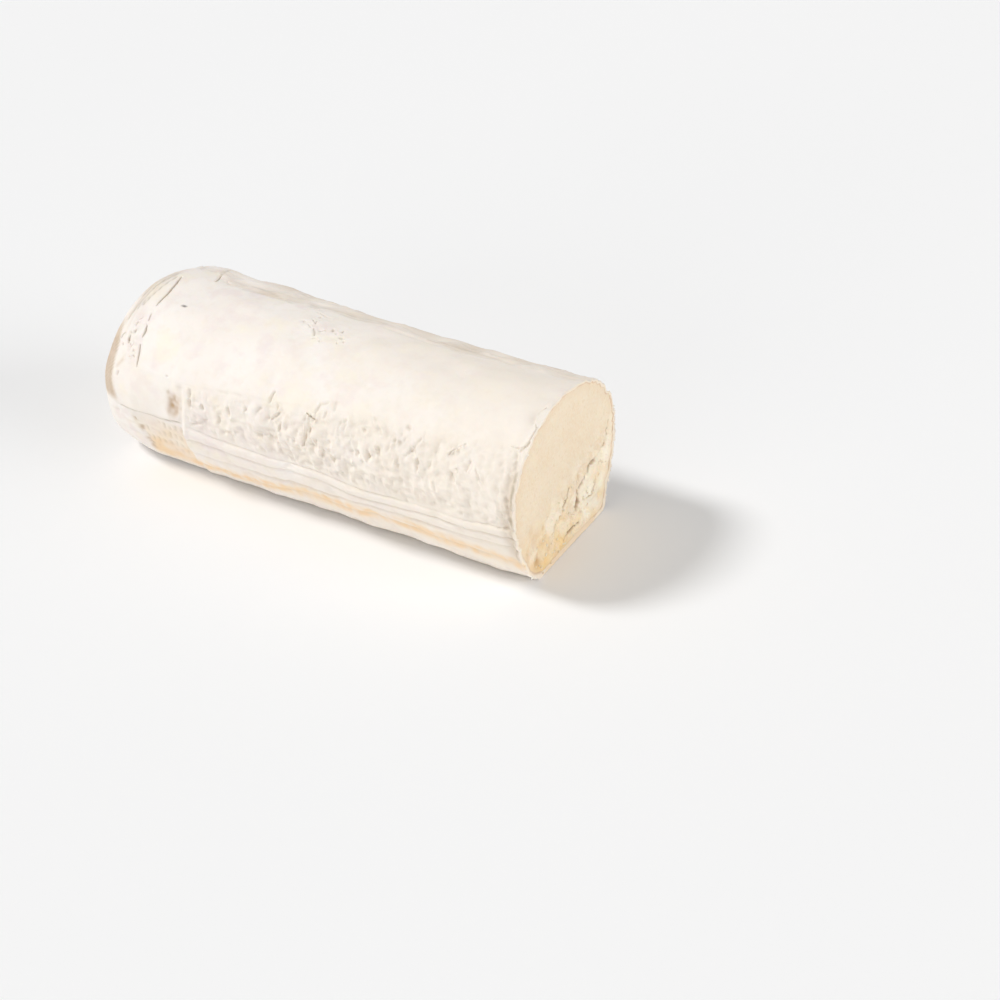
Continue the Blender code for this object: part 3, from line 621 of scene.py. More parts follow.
def near_side_detail(x, girth, flat, marks):
    """The crumple, folds and dents of the near side and the torn step above them, with painted shade in the
    crumple, the folds and the dents.
    """
    zone = crumple_zone(x, girth)
    crumple, shade_and_print = crumple_relief(girth, flat)
    relief = zone * (crumple - CRUMPLE_SINK)
    # Painted shade in the crumple's hollows and dimples
    raise_mask(marks, "shade_and_print", zone * shade_and_print)
    tall = fold_relief(x, girth, flat) * ease(0, 10, x)
    relief += tall
    # Painted shade along the tall folds
    raise_mask(marks, "shade_and_print", -0.3 * tall)

    step = eased_line(x, STEP_LINE)
    torn = 0.4 + 0.6 * ease(-0.2, 0.3, lumps(flat, 9, 3.7))
    relief += 0.28 * torn * window((-0.5, 0.5), (3, 14), girth - step) * ease(-63, -60, x)
    step_shadow = bell(girth, step - 0.4, 0.35) * window((-80, -76), (-20, -12), x) * torn
    relief -= 0.12 * step_shadow
    raise_mask(marks, "shade_and_print", 0.2 * step_shadow)

    for place, height, half_width, half_height, depth in DENTS:
        dent = spot(x, girth, (place, height), (half_width, half_height), 1.2)
        lip = spot(x, girth, (place + 1.8 * half_width, height), (half_width, half_height))
        relief += depth * (0.35 * lip - dent)
        # Painted shade in each dent
        raise_mask(marks, "shade_and_print", 0.12 * dent)
    ochre = np.maximum(*[spot(x, girth, middle, half_size) for middle, half_size in OCHRE_SPOTS])
    raise_mask(marks, "brown", 0.16 * ochre * ease(-0.3, 0.3, lumps(flat, 3, 47)))
    return relief


def groove_detail(x, girth, flat, marks):
    """The fine lines in the long grooves of both sides and the nicks on the ridges between them, with
    painted shade along the grooves and in the nicks.
    """
    groove = np.zeros_like(x)
    wander = 0.25 * lumps(flat, 6, 48.0)
    for edges, side, thick in ((groove_girths(x, NEAR_GROOVES), girth, 0.35 + 0.65 * thick_rind(x)),
                               (groove_girths(x, FAR_GROOVES), FULL_GIRTH - girth, 1.0)):
        for edge in edges[1:]:
            groove = np.maximum(groove, bell(side, edge + wander, 0.42) * thick)
    broken = 0.35 + 0.65 * ease(-0.3, 0.3, lumps(flat, 9, 9.6, (0.6, 1.0, 1.0)))
    # Painted shade along the grooves
    raise_mask(marks, "shade_and_print", 0.22 * groove * broken)
    ridged = np.maximum(1 - ease(35, 38, girth), 1 - ease(35, 38, FULL_GIRTH - girth)) * ease(1, 4, girth)
    nicks = ease(0.25, 0.55, lumps(flat, 3.4, 17.1, (0.7, 1.0, 1.0)))
    # Painted shade in the nicks
    raise_mask(marks, "shade_and_print", 0.07 * nicks * ridged * thick_rind(x))
    grain = folds(flat, 1.0, 14.2, (1 / 9, 1 / 2.2, 1))
    return -GROOVE_DEPTH * groove * broken - 0.4 * ridged * nicks * (1 - groove) - 0.1 * ridged * grain


def dash_rows(x, girth):
    """Slanted dashes in rows, the print of a woven wrapper."""
    row = (girth - 2.6 - 0.07 * (x + 70)) / DASH_PITCH[1]
    whole = np.floor(row)
    up = (row - whole - 0.5) * DASH_PITCH[1]
    across = (x - 0.1 * up) / DASH_PITCH[0] + 0.3 * whole
    from_middle = np.abs(across - np.floor(across) - 0.5) * DASH_PITCH[0]
    return (1 - ease(0.25, 0.8, from_middle)) * (1 - ease(1.1, 2.3, np.abs(up)))


def thin_patch_detail(x, girth, flat, marks):
    """The torn, thin place beside the rounded end: its dashes, edges and brown spot."""
    patch = bare_patch(x, girth)
    dashes = dash_rows(x, girth) * patch * ease(14, 20, girth) * ease(-0.35, 0.1, lumps(flat, 5.0, 35.0))
    top_line = bell(girth, eased_line(x, PATCH_TOP), 0.3) * window((-91, -88), (-58, -56), x)
    relief = -0.35 * dashes - 0.45 * top_line
    raise_mask(marks, "shade_and_print", np.maximum(0.3 * dashes, 0.8 * top_line))

    torn_edge = eased_line(girth, TORN_EDGE) + 0.9 * lumps(flat, 2.6, 21.0)
    in_patch = window((11, 15), (34.5, 36), girth)
    relief -= 0.55 * bell(x, torn_edge, 0.6) * in_patch
    # Brown along the torn edge, just beside its groove
    edge_brown = bell(x, torn_edge + 0.4, 1.0) * in_patch * ease(-0.25, 0.2, lumps(flat, 2.8, 8))
    raise_mask(marks, "brown", 0.75 * edge_brown)
    side = eased_line(girth, ROLLED_EDGE)
    relief += 0.75 * bell(x, side + 1.3, 1.2) * window((12, 16), (54, 57), girth)
    relief -= 0.4 * bell(x, side - 0.7, 0.6) * window((12, 16), (49, 55), girth)

    lowest = 1 - ease(12, 28, girth)
    faded = ease(-82, -72, x + 0.3 * (36 - girth)) * (1 - ease(30, 37, girth) * 0.7)
    raise_mask(marks, "bare", patch * faded * (0.34 + 0.56 * lowest) * (1 + 0.9 * lumps(flat, 6, 36.0)))
    bent_x = x + 0.9 * lumps(flat, 2.2, 50.0)
    bent_girth = girth + 0.9 * lumps(flat, 3.0, 49.0)
    brown = spot(bent_x, bent_girth, (-59.4, 46.2), (3.4, 5.2), 1.8) * (0.7 + 0.7 * lumps(flat, 1.8, 3.3))
    relief -= 0.3 * brown
    raise_mask(marks, "brown", brown)
    raise_mask(marks, "shade_and_print", 0.3 * spot(x, girth, (-57.0, 54.6), (1.6, 1.0), 1.2))
    raise_mask(marks, "shade_and_print", 0.5 * spot(x, girth, (-62.2, 51.2), (0.8, 0.9), 1.5))
    return relief


def net_print(first, second, pitch):
    """A net with these two pitches: 0 on its threads, and up to 1 or down to -1 in its meshes."""
    return np.sin(first * math.tau / pitch[0]) * np.sin(second * math.tau / pitch[1])


def rounded_end_detail(x, girth, flat, marks, turned):
    """The creases, streaks, crackle and net print of the rounded end, with painted shade in the crackle and
    over the top of the shoulder where it turns away.
    """
    # The streaks' darkening is partly painted shade in their grooves and partly their own brownish tone
    relief = pressed_lines(x, girth, marks, END_STREAKS, 0.55)

    behind = eased_line(girth, CREASE_LINE) - x
    streaks = ease(-0.1, 0.45, lumps(flat, 1.0, 42.0, (1 / 1.2, 1 / 13, 1)))
    high = bell(girth, 98, 22)
    relief -= 0.3 * ease(3.5, 7, behind) * streaks * high
    raise_mask(marks, "beige", ease(3.5, 7, behind) * (0.15 + 0.85 * streaks) * high)
    # Beige over the top of the shoulder where it turns away: painted shade on that side
    raise_mask(marks, "beige", 0.8 * ease(0.45, 0.9, turned) * ease(76, 84, girth))

    cracked = spot(x, girth, (-85.0, 66.5), (5.0, 10.0), 2.5)
    relief += 0.25 * cracked * folds(flat, 2.6, 23.0)
    # Painted shade in the crackle
    raise_mask(marks, "shade_and_print", 0.14 * cracked * ease(0.0, 0.4, lumps(flat, 1.6, 58)))
    raise_mask(marks, "brown", 0.3 * bell(distance_to_line(x, girth, END_SCRATCH), 0.0, 0.8))

    low = ease(11.1, 13.4, behind) * window((36, 42), (66, 80), girth)
    net = net_print(girth, behind, EDGE_NET_PITCH)
    relief += 0.22 * net * low
    raise_mask(marks, "beige", low * (0.7 + 0.5 * lumps(flat, 5, 66.0)))
    raise_mask(marks, "shade_and_print", 0.55 * low * ease(-0.1, -0.5, net))
    raise_mask(marks, "brown", 0.5 * ease(12.0, 13.8, behind) * low)
    return relief


def rear_detail(x, girth, flat, marks):
    """The strip behind the crown, beige and loosely pleated with painted shade between the pleats, and the
    crackle on the crown with painted shade in it.
    """
    rear = girth - eased_line(x, REAR_LINE)
    rear_fold = window((-1.0, 0.6), (6, 20), rear) * ease(-90, -80, x)
    relief = -0.3 * rear_fold * ease(-0.35, 0.15, lumps(flat, 15, 41.0))
    facet = np.zeros_like(x)
    for middle, half_size, power, strength in FACETS:
        facet = np.maximum(facet, strength * spot(x, girth, middle, half_size, power))
    relief -= 0.45 * facet
    relief += pressed_lines(x, girth, marks, REAR_CREASES, 0.3)
    strip = window((-1, 2), (26, 44), rear)
    swells = folds(flat, 1.0, 18.8, (1 / 30, 1 / 6, 1))
    pleats = folds(flat, 1.0, 28.8, (1 / 11, 1 / 2.6, 1))
    relief += strip * (0.45 * swells + 0.34 * pleats)
    between_pleats = ease(0.0, 0.4, -pleats) * ease(-0.3, 0.3, lumps(flat, 12, 85.0))
    # Painted shade between the pleats
    raise_mask(marks, "shade_and_print", 0.2 * strip * between_pleats)
    tint = ease(-2, 5, rear) * (0.35 + 0.7 * lumps(flat, 13, 33.3)) + 0.4 * ease(10, 20, rear)
    raise_mask(marks, "beige", np.clip(0.8 * tint + 0.3 * facet, 0, 1))

    cracked = spot(x, girth, (-11, 97), (14, 7), 2.0)
    relief += 0.24 * cracked * folds(flat, 3.4, 23.0)
    # Painted shade in the crown's crackle
    raise_mask(marks, "shade_and_print", 0.07 * cracked * ease(0.0, 0.4, lumps(flat, 1.8, 58)))
    return relief


def rim_detail(x, girth, flat, marks):
    """The rough band beside the cut with the strip raised by the rim's crack, and painted shade in the
    valley behind the rim: a broken dark line with a beige tint.
    """
    before_cut = CUT_PLACE - x
    relief = 0.35 * window((70, 76), (92, 97), girth) * (1 - ease(1.5, 3.2, before_cut))
    near_rim = window((16, 28), (58, 68), girth)
    rough = bell(before_cut, 2.6, 2.0) * near_rim
    relief -= rough * (0.3 + 0.8 * lumps(flat, 2.2, 19.3))
    torn = 0.35 + 0.65 * ease(-0.25, 0.25, lumps(flat, 2.2, 59.0))
    # Painted shade in the valley behind the rim: a broken dark line and a beige tint over it
    raise_mask(marks, "shade_and_print", 0.85 * bell(before_cut, 1.7, 0.9) * near_rim * torn)
    raise_mask(marks, "beige", 0.8 * bell(before_cut, 2.6, 2.6) * near_rim)
    return relief + 0.15 * bell(before_cut, 0.0, 2.5) * lumps(flat, 1.6, 22.8)


def skin_detail(x, girth, turned):
    """The finer relief of the rind, and the masks of its colours."""
    flat = np.stack([x, girth, np.zeros_like(x)], 1)
    # The first of these masks is painted shade in dents, creases, cracks and grooves, and also holds the
    # dark of the wrapper's print
    marks = {name: np.zeros_like(x) for name in ("shade_and_print", "bare", "beige", "brown", "cream")}
    relief = 0.07 * lumps(flat, 3.0, 12.2) + 0.34 * lumps(flat, 8.0, 13.4) + 0.7 * lumps(flat, 15.0, 67.0)
    relief += near_side_detail(x, girth, flat, marks) + groove_detail(x, girth, flat, marks)
    relief += thin_patch_detail(x, girth, flat, marks)
    relief += rounded_end_detail(x, girth, flat, marks, turned)
    relief += rear_detail(x, girth, flat, marks) + rim_detail(x, girth, flat, marks)
    relief += crisp_detail(x, girth, flat, marks)

    # Peach tint low on the near side, along the lowest groove and at the base edge: partly the rind's own
    # colour and partly painted warm light bounced from below
    band = np.minimum(1.5 * bell(girth, eased_line(x, NEAR_GROOVES[0]) + 0.6, 3.4), 1.0)
    band *= 0.8 + 0.9 * lumps(flat, 3.0, 83.0)
    tint = ease(-0.6, 0.0, lumps(flat, 16, 27.2, (0.6, 1.5, 1.0)))
    raise_mask(marks, "bare", (band * tint + 0.2 * (1 - ease(2, 7, girth))) * thick_rind(x))
    step = eased_line(x, STEP_LINE)
    low = 1 - ease(step - 3, step + 3, girth)
    marks["cream"] = 0.7 * ease(-75, 90, x) + 0.3 * low * ease(36, 39, girth) + 0.4 * lumps(flat, 14, 60.0)
    marks["fleck"] = spot(x, girth, FLECK, FLECK_HALF_SIZE, 3.0)
    for name in marks:
        marks[name] = np.clip(marks[name], 0, 1)
    return relief, marks


def edge_wander(x, girth):
    """Shift along Y of the lowest part of each side, all of it at the base edge."""
    near = eased_line(x, NEAR_EDGE_LINE) * (1 - ease(0.0, EDGE_WANDER_REACH, girth))
    far = eased_line(x, FAR_EDGE_LINE) * (1 - ease(0.0, EDGE_WANDER_REACH, FULL_GIRTH - girth))
    return near - far


def cut_lean(y, x):
    """How far the yawed cut moves a point along X, all of it at the cut and none a little way behind."""
    return -y * math.tan(CUT_YAW) * ease(CUT_PLACE - CUT_YAW_REACH, CUT_PLACE, x)


def along_and_girth(around, x, turned):
    """x on the finished log, where the shoulder's start follows the crease, and girth."""
    girth = around_to_girth(around, x)
    crease_shift = eased_line(girth, CREASE_LINE) - SHOULDER_START
    shifted = x + crease_shift * (1 - ease(SHOULDER_START, SHOULDER_START + 3 * SHOULDER_DEPTH, x))
    return np.where(turned > 0, x + crease_shift * (1 - turned), shifted), girth


def skin_points(around, x, turned):
    """Places on the finished skin, their girth, and the masks of its colours."""
    shifted, girth = along_and_girth(around, x, turned)
    y, z, normal_y, normal_z = plain_section(girth)
    plain = np.stack([shifted, y, z], 1)
    relief = main_relief(shifted, girth, plain)
    detail, marks = skin_detail(shifted, girth, turned)
    relief += detail
    relief *= ease(0.0, 3.0, girth) * ease(0.0, 3.0, FULL_GIRTH - girth)
    relief *= 1 - 0.5 * turned
    y = y + normal_y * relief + edge_wander(shifted, girth)
    z = z + normal_z * relief

    under = around > 3.0
    near_edge = CURVE_Y[0] + edge_wander(shifted, 0.0)
    far_edge = CURVE_Y[-1] + edge_wander(shifted, FULL_GIRTH)
    across = np.clip(around - 3.0, 0.0, 1.0)
    y = np.where(under, far_edge + (near_edge - far_edge) * across, y)
    z = np.where(under, 0.5 * across * (1 - across) * (1 + lumps(plain, 9, 40.0)), np.maximum(z, 0.0))

    more_at_top = (SHOULDER_SHRINK_HIGH - SHOULDER_SHRINK_LOW) * ease(5, 40, z)
    shrink = 1 - turned * (SHOULDER_SHRINK_LOW + more_at_top)
    shifted = shifted - END_LEAN * turned * (1 - z / HEIGHT)
    y = y * shrink
    z = SHOULDER_CENTRE_HEIGHT + (z - SHOULDER_CENTRE_HEIGHT) * shrink
    marks["shade_and_print"] = np.where(under, 0.0, marks["shade_and_print"])
    return np.stack([shifted + cut_lean(y, shifted), y, z], 1), girth, marks


def square_around(across, up):
    """Place round the section of points in a square, and how far out each is, up to 1 at its edge.

    The place runs to 1 up the near side, to 2 over the crown, to 3 down the far side, to 4 under the base.
    """
    out = np.maximum(np.abs(across), np.abs(up))
    reach = np.maximum(out, 1e-6)
    across = np.clip(across / reach, -1.0, 1.0)
    up = np.clip(up / reach, -1.0, 1.0)
    near = across < -0.99999
    top = up > 0.99999
    far = across > 0.99999
    around = np.select([near, top, far], [(up + 1) / 2, 1 + (across + 1) / 2, 2 + (1 - up) / 2],
                       3 + (1 - across) / 2)
    return np.where(near & (up < -0.99999), 0.0, around), out


def rim_table(count=1600):
    """For places round the section, at the cut: the skin's y and z, and those of the rind's inner edge."""
    around = np.linspace(0.0, 4.0, count)
    outer, girth, _ = skin_points(around, np.full(count, CUT_PLACE), np.zeros(count))
    yz = outer[:, 1:]
    thickness = eased_line(girth, RIND_THICKNESS)
    thickness = thickness + 0.45 * lumps(outer, 3.5, 51.0) + 0.3 * lumps(outer, 1.3, 52.0)
    thickness = np.where(around > 3.0, 3.0 + 0.4 * lumps(outer, 3.0, 53.0), thickness)
    middle = np.array([0.0, HEIGHT / 2])
    outward = yz - middle
    reach = np.linalg.norm(outward, axis=1)
    inner = middle + outward * (1 - np.maximum(thickness, 0.6) / reach)[:, None]
    return around, yz, inner


RIM_AROUND, RIM_OUTER, RIM_INNER = rim_table()


def rim_inner(around):
    """y and z of the rind's inner edge at the cut."""
    return np.stack([np.interp(around, RIM_AROUND, RIM_INNER[:, i]) for i in (0, 1)], 1)


def crack_relief(y, z, points):
    """Relief of the cracks in the cut face, and the painted shade in them: how dark each place is."""
    relief = np.zeros_like(y)
    dark = np.zeros_like(y)
    wavy_y = y + 0.25 * lumps(points, 1.4, 71.0)
    wavy_z = z + 0.25 * lumps(points, 1.4, 72.0)
    for line, half_width, depth, darkness in CRACKS:
        away = distance_to_line(wavy_y, wavy_z, line)
        crack = bell(away, 0.0, half_width)
        relief -= depth * crack + 0.28 * depth * bell(away, 0.0, 3.2 * half_width)
        dark = np.maximum(dark, darkness * crack)
    return relief, dark


def paste_relief(y, z, out, points):
    """How far the cut face stands out along X, and the masks of its colours."""
    crumbly = (1 - ease(22, 36, z - 0.25 * y)) * ease(-34, -10, y + 0.4 * z)
    lower = 1 - ease(18, 30, z - 0.15 * y)
    relief = 0.75 * crumbly * lumps(points, 5.5, 11.3) + 0.25 * lumps(points, 16, 2.9)
    big = shards(points, 3.4, 2.7)
    broken = np.maximum(crumbly, 0.8 * lower)
    relief += broken * (0.07 * big + 0.5 * lumps(points, 3.0, 14.0) + 0.3 * folds(points, 2.4, 84.0))
    relief += 0.3 * broken * lumps(points, 1.3, 15.0)

    along_knife = np.stack([y * 0.94 + z * 0.34, (z * 0.94 - y * 0.34) * 0.12, np.zeros_like(y)], 1)
    relief += (1 - broken) * (0.13 * lumps(along_knife, 0.9, 3.0) + 0.1 * lumps(points, 1.6, 5.0))
    pores = ease(0.5, 0.7, lumps(points, 1.5, 61.0)) * (0.1 + 0.25 * broken)
    relief -= 0.2 * pores

    cracks, dark = crack_relief(y, z, points)
    relief += cracks
    pit = spot(y + 0.3 * lumps(points, 1.2, 73.0), z - 0.25 * (y - PIT[0]), PIT, PIT_HALF_SIZE, 1.5)
    relief -= PIT_DEPTH * pit
    stain = 0.9 * pit
    mottle = 0.85 + 0.5 * lumps(points, 2.2, 77.0)
    for across, up, half_width, half_height, strength in STAINS:
        blot = spot(y, z, (across, up), (half_width, half_height)) * mottle
        relief -= 0.5 * strength * blot
        stain = np.maximum(stain, strength * blot)
    fade = 1 - ease(0.9, 0.995, out)
    past_edge = y - np.interp(z, *zip(*PALE_EDGE))
    pale = ease(-0.5, 3.0, past_edge) * (0.75 + 0.6 * lumps(points, 4.0, 81.0))
    pale = np.maximum(pale, 0.5 * broken * ease(0.0, 0.5, big))
    # Yellower towards the bottom of the cut: painted warm light reflected from below
    warm_bounce = 0.65 * (1 - ease(2, 18, z)) * (1 - ease(-4, 16, y)) + 0.45 * (1 - ease(0.5, 4.5, z))
    warm_bounce += 0.4 * (1 - ease(10, 32, z)) * ease(-0.2, 0.4, lumps(points, 6, 82.0))
    marks = {
        "warm_bounce": np.clip(warm_bounce, 0, 1),
        # Painted shade in the cracks and the pit
        "shade_and_print": np.clip(np.maximum(dark, 0.95 * pit), 0, 1),
        "stain": np.clip(stain, 0, 1),
        "pale": np.clip(pale, 0, 1),
    }
    return relief * fade, marks


def vertex_places(mesh):
    places = np.zeros(len(mesh.vertices) * 3)
    mesh.vertices.foreach_get("co", places)
    return places.reshape(-1, 3)


def mesh_from(shape, name):
    """Ends the building of a shape and gives its mesh."""
    mesh = bpy.data.meshes.new(name)
    shape.to_mesh(mesh)
    shape.free()
    return mesh


def shade(mesh):
    """Smooth shading, with the sharp edges kept."""
    mesh.shade_smooth()
    mesh.set_sharp_from_angle(angle=SHARP_ANGLE)


def finished_object(name, mesh, material):
    """Links a mesh whose vertices are still in millimetres, moved to the solid's frame."""
    places = (vertex_places(mesh) + TO_MIDDLE) * MM
    mesh.vertices.foreach_set("co", places.ravel())
    mesh.update()
    mesh.materials.append(material)
    piece = bpy.data.objects.new(name, mesh)
    bpy.context.scene.collection.objects.link(piece)
    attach(piece, "root")
    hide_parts("cheese_log")
    return piece


def add_masks(mesh, marks):
    """Gives a mesh its masks, each by name with a value for every vertex."""
    for name, values in marks.items():
        mask = mesh.attributes.new(name, "FLOAT", "POINT")
        mask.data.foreach_set("value", np.asarray(values, np.float32))


def close_boundary(shape):
    """Fills the one open edge loop and fans the new face from its middle."""
    edges = [edge for edge in shape.edges if edge.is_boundary]
    made = bmesh.ops.contextual_create(shape, geom=edges)
    bmesh.ops.poke(shape, faces=made["faces"])


def extrude_open_edge(shape, shift):
    """Extrudes the open edge loop by a shift."""
    edges = [edge for edge in shape.edges if edge.is_boundary]
    made = bmesh.ops.extrude_edge_only(shape, edges=edges)
    fresh = [item for item in made["geom"] if isinstance(item, bmesh.types.BMVert)]
    bmesh.ops.translate(shape, verts=fresh, vec=shift)


def weld_base(shape):
    """Keeps only every BASE_COLUMN_STEP-th column of the flat base."""
    base = {}
    for vert in shape.verts:
        if vert.co.z < -0.9999 and abs(vert.co.x) < 0.9999:
            station = round((vert.co.x + 1) / 2 * (len(PLACES) - 1))
            column = round((vert.co.y + 1) / 2 * CROWN_COLUMNS)
            base[station, column] = vert
    targets = {}
    for (station, column), vert in base.items():
        kept = round(column / BASE_COLUMN_STEP) * BASE_COLUMN_STEP
        if kept != column:
            targets[vert] = base[station, kept]
    bmesh.ops.weld_verts(shape, targetmap=targets)


def rind_cube():
    """A cube cut into the rind's grid, opened at the cut, with a step inward for each ring of the rim."""
    shape = bmesh.new()
    bmesh.ops.create_cube(shape, size=2.0)
    for axis, cuts in ((0, len(PLACES) - 2), (1, CROWN_COLUMNS - 1), (2, SIDE_COLUMNS - 1)):
        edges = [edge for edge in shape.edges if abs((edge.verts[1].co - edge.verts[0].co)[axis]) > 1e-4]
        bmesh.ops.subdivide_edges(shape, edges=edges, cuts=cuts, use_grid_fill=True)
    weld_base(shape)

    cut_end = [face for face in shape.faces if face.calc_center_median().x > 0.9999]
    bmesh.ops.delete(shape, geom=cut_end, context="FACES")
    for _ in RIM_SHARES[1:]:
        extrude_open_edge(shape, (RING_STEP, 0, 0))
    close_boundary(shape)
    bmesh.ops.recalc_face_normals(shape, faces=shape.faces)
    return shape


def cube_places(cube):
    """Place round the section, x and turn of points on the rind's cube, and how far out each is."""
    last = len(PLACES) - 1
    station = np.clip((cube[:, 0] + 1) / 2 * last, 0, last)
    x = np.interp(station, np.arange(last + 1), PLACES)
    turned = np.interp(station, np.arange(last + 1), TURNS)
    around, out = square_around(cube[:, 1], cube[:, 2])
    return around, x, turned, out


def refine_marks(shape):
    """Divides the skin's faces along the marks, and once more, closer by, along the thin ones."""
    for level in range(FINE_LEVELS):
        faces = [face for face in shape.faces if abs(face.calc_center_median().x) < 0.9999]
        centres = np.array([face.calc_center_median() for face in faces])
        around, x, turned, _ = cube_places(centres)
        along, girth = along_and_girth(around, x, turned)
        nearest = np.full(len(faces), 1e9)
        for line, half_width, _, _ in CRISP_MARKS:
            if level == 0 or half_width < WIDE_MARK:
                nearest = np.minimum(nearest, distance_to_line(along, girth, line) - half_width)
        chosen = nearest < FINE_REACH / 2 ** level
        edges = dict.fromkeys(edge for face, fine in zip(faces, chosen) if fine for edge in face.edges)
        bmesh.ops.subdivide_edges(shape, edges=list(edges), cuts=1, use_grid_fill=True)


def place_flat_end(points, marks, skin, cube, out):
    """The flat of the rounded end: the skin's last ring drawn in to a low dome with a net print."""
    flat_end = (out < 0.99999) & (cube[:, 0] < 0)
    share = out ** 2
    net = net_print(skin[:, 1] * out, skin[:, 2] * out, FLAT_NET_PITCH)
    centre = SHOULDER_CENTRE_HEIGHT
    points[flat_end, 1] = (skin[:, 1] * out)[flat_end]
    points[flat_end, 2] = (centre + (skin[:, 2] - centre) * out)[flat_end]
    level = END_PLACE - END_LEAN * (1 - points[:, 2] / HEIGHT)
    points[flat_end, 0] = (level + (skin[:, 0] - level) * share - END_DOME * (1 - share))[flat_end]
    points[flat_end, 0] += 0.5 * lumps(points[flat_end], 14, 9.4) + 0.12 * lumps(points[flat_end], 3, 44.0)
    points[flat_end, 0] += (0.16 * net * (1 - out ** 6))[flat_end]
    marks["beige"] = np.where(flat_end, 0.5 - 0.2 * net, marks["beige"])
    for name in ("shade_and_print", "bare", "brown"):
        marks[name] = np.where(flat_end, marks[name] * ease(0.8, 1.0, out), marks[name])


def place_rim(points, marks, skin, cube, around):
    """The rings of the rim, from the skin's edge in to the paste, and the unseen back behind them."""
    ring = np.rint((cube[:, 0] - 1) / RING_STEP).astype(int)
    on_rim = ring > 0
    inner = rim_inner(around)
    rim_share = np.array(RIM_SHARES)[np.clip(ring, 0, len(RIM_SHARES) - 1)]
    for i in (0, 1):
        outer = skin[:, i + 1]
        points[on_rim, i + 1] = (outer + (inner[:, i] - outer) * rim_share)[on_rim]
    points[on_rim, 0] = CUT_PLACE + cut_lean(points[on_rim, 1], CUT_PLACE)
    points[on_rim, 0] += 0.16 * lumps(points[on_rim], 1.4, 55.0) * ease(0.0, 0.3, rim_share[on_rim])
    at_back = ring >= len(RIM_SHARES) - 1
    points[at_back, 0] -= POCKET_DEPTH
    outward = points[at_back, 1:] - (0.0, HEIGHT / 2)
    reach = np.maximum(np.linalg.norm(outward, axis=1), 1.0)
    points[at_back, 1:] -= outward * (POCKET_TAPER / reach)[:, None]
    middle = on_rim & (np.hypot(cube[:, 1], cube[:, 2]) < 0.5)
    points[middle, 1:] = (0.0, HEIGHT / 2)

    mottle = 0.55 + 0.45 * ease(-0.35, 0.25, lumps(points, 4.0, 57.0))
    marks["rim"] = np.where(on_rim & (around <= 3.0), rim_share, 0.0)
    marks["ripe"] = marks["rim"] * mottle
    marks["bare"] = np.where(on_rim & (around > 3.0), 0.6, marks["bare"])
    return on_rim


def place_rind(cube):
    """Moves every vertex of the rind's cube to its place on the log."""
    around, x, turned, out = cube_places(cube)
    skin, _, marks = skin_points(around, x, turned)
    points = skin.copy()
    place_flat_end(points, marks, skin, cube, out)
    on_rim = place_rim(points, marks, skin, cube, around)
    ragged_edge = (CUT_PLACE - x < 1e-6) & ~on_rim
    points[ragged_edge, 0] += (0.3 * lumps(skin, 2.1, 56.0) - 0.3)[ragged_edge]
    return points, marks


def make_rind(material):
    shape = rind_cube()
    refine_marks(shape)
    mesh = mesh_from(shape, "rind")
    points, marks = place_rind(vertex_places(mesh))
    mesh.vertices.foreach_set("co", points.ravel())
    add_masks(mesh, marks)
    shade(mesh)
    return finished_object("rind", mesh, material)


def make_paste(material):
    shape = bmesh.new()
    bmesh.ops.create_grid(shape, x_segments=PASTE_COLUMNS, y_segments=PASTE_ROWS, size=1.0)
    extrude_open_edge(shape, (0, 0, -1))
    close_boundary(shape)
    bmesh.ops.recalc_face_normals(shape, faces=shape.faces)
    mesh = mesh_from(shape, "paste")
    grid = vertex_places(mesh)

    around, out = square_around(grid[:, 0], grid[:, 1])
    inner = rim_inner(around)
    middle = np.array([0.0, HEIGHT / 2])
    length = np.linalg.norm(inner - middle, axis=1)
    front = grid[:, 2] > -0.5
    widen = np.where(front, PASTE_OVERLAP, PASTE_OVERLAP - POCKET_TAPER * PASTE_BACK / POCKET_DEPTH)
    flat = middle + (inner - middle) * (out * (1 + widen / length))[:, None]
    points = np.stack([np.full(len(flat), CUT_PLACE), flat[:, 0], flat[:, 1]], 1)
    relief, marks = paste_relief(flat[:, 0], flat[:, 1], out, points)
    points[:, 0] += cut_lean(points[:, 1], CUT_PLACE) - PASTE_RECESS + np.where(front, relief, -PASTE_BACK)
    mesh.vertices.foreach_set("co", points.ravel())
    marks["from_rind"] = (1 - out) * length
    add_masks(mesh, marks)
    shade(mesh)
    return finished_object("paste", mesh, material)


def skin_at(x, girth):
    """Places and outward normals on the skin's main forms."""
    y, z, normal_y, normal_z = plain_section(girth)
    plain = np.stack([x, y, z], 1)
    normal = np.stack([np.zeros_like(x), normal_y, normal_z], 1)
    points = plain + normal * main_relief(x, girth, plain)[:, None]
    points[:, 0] += cut_lean(points[:, 1], x)
    return points, normal


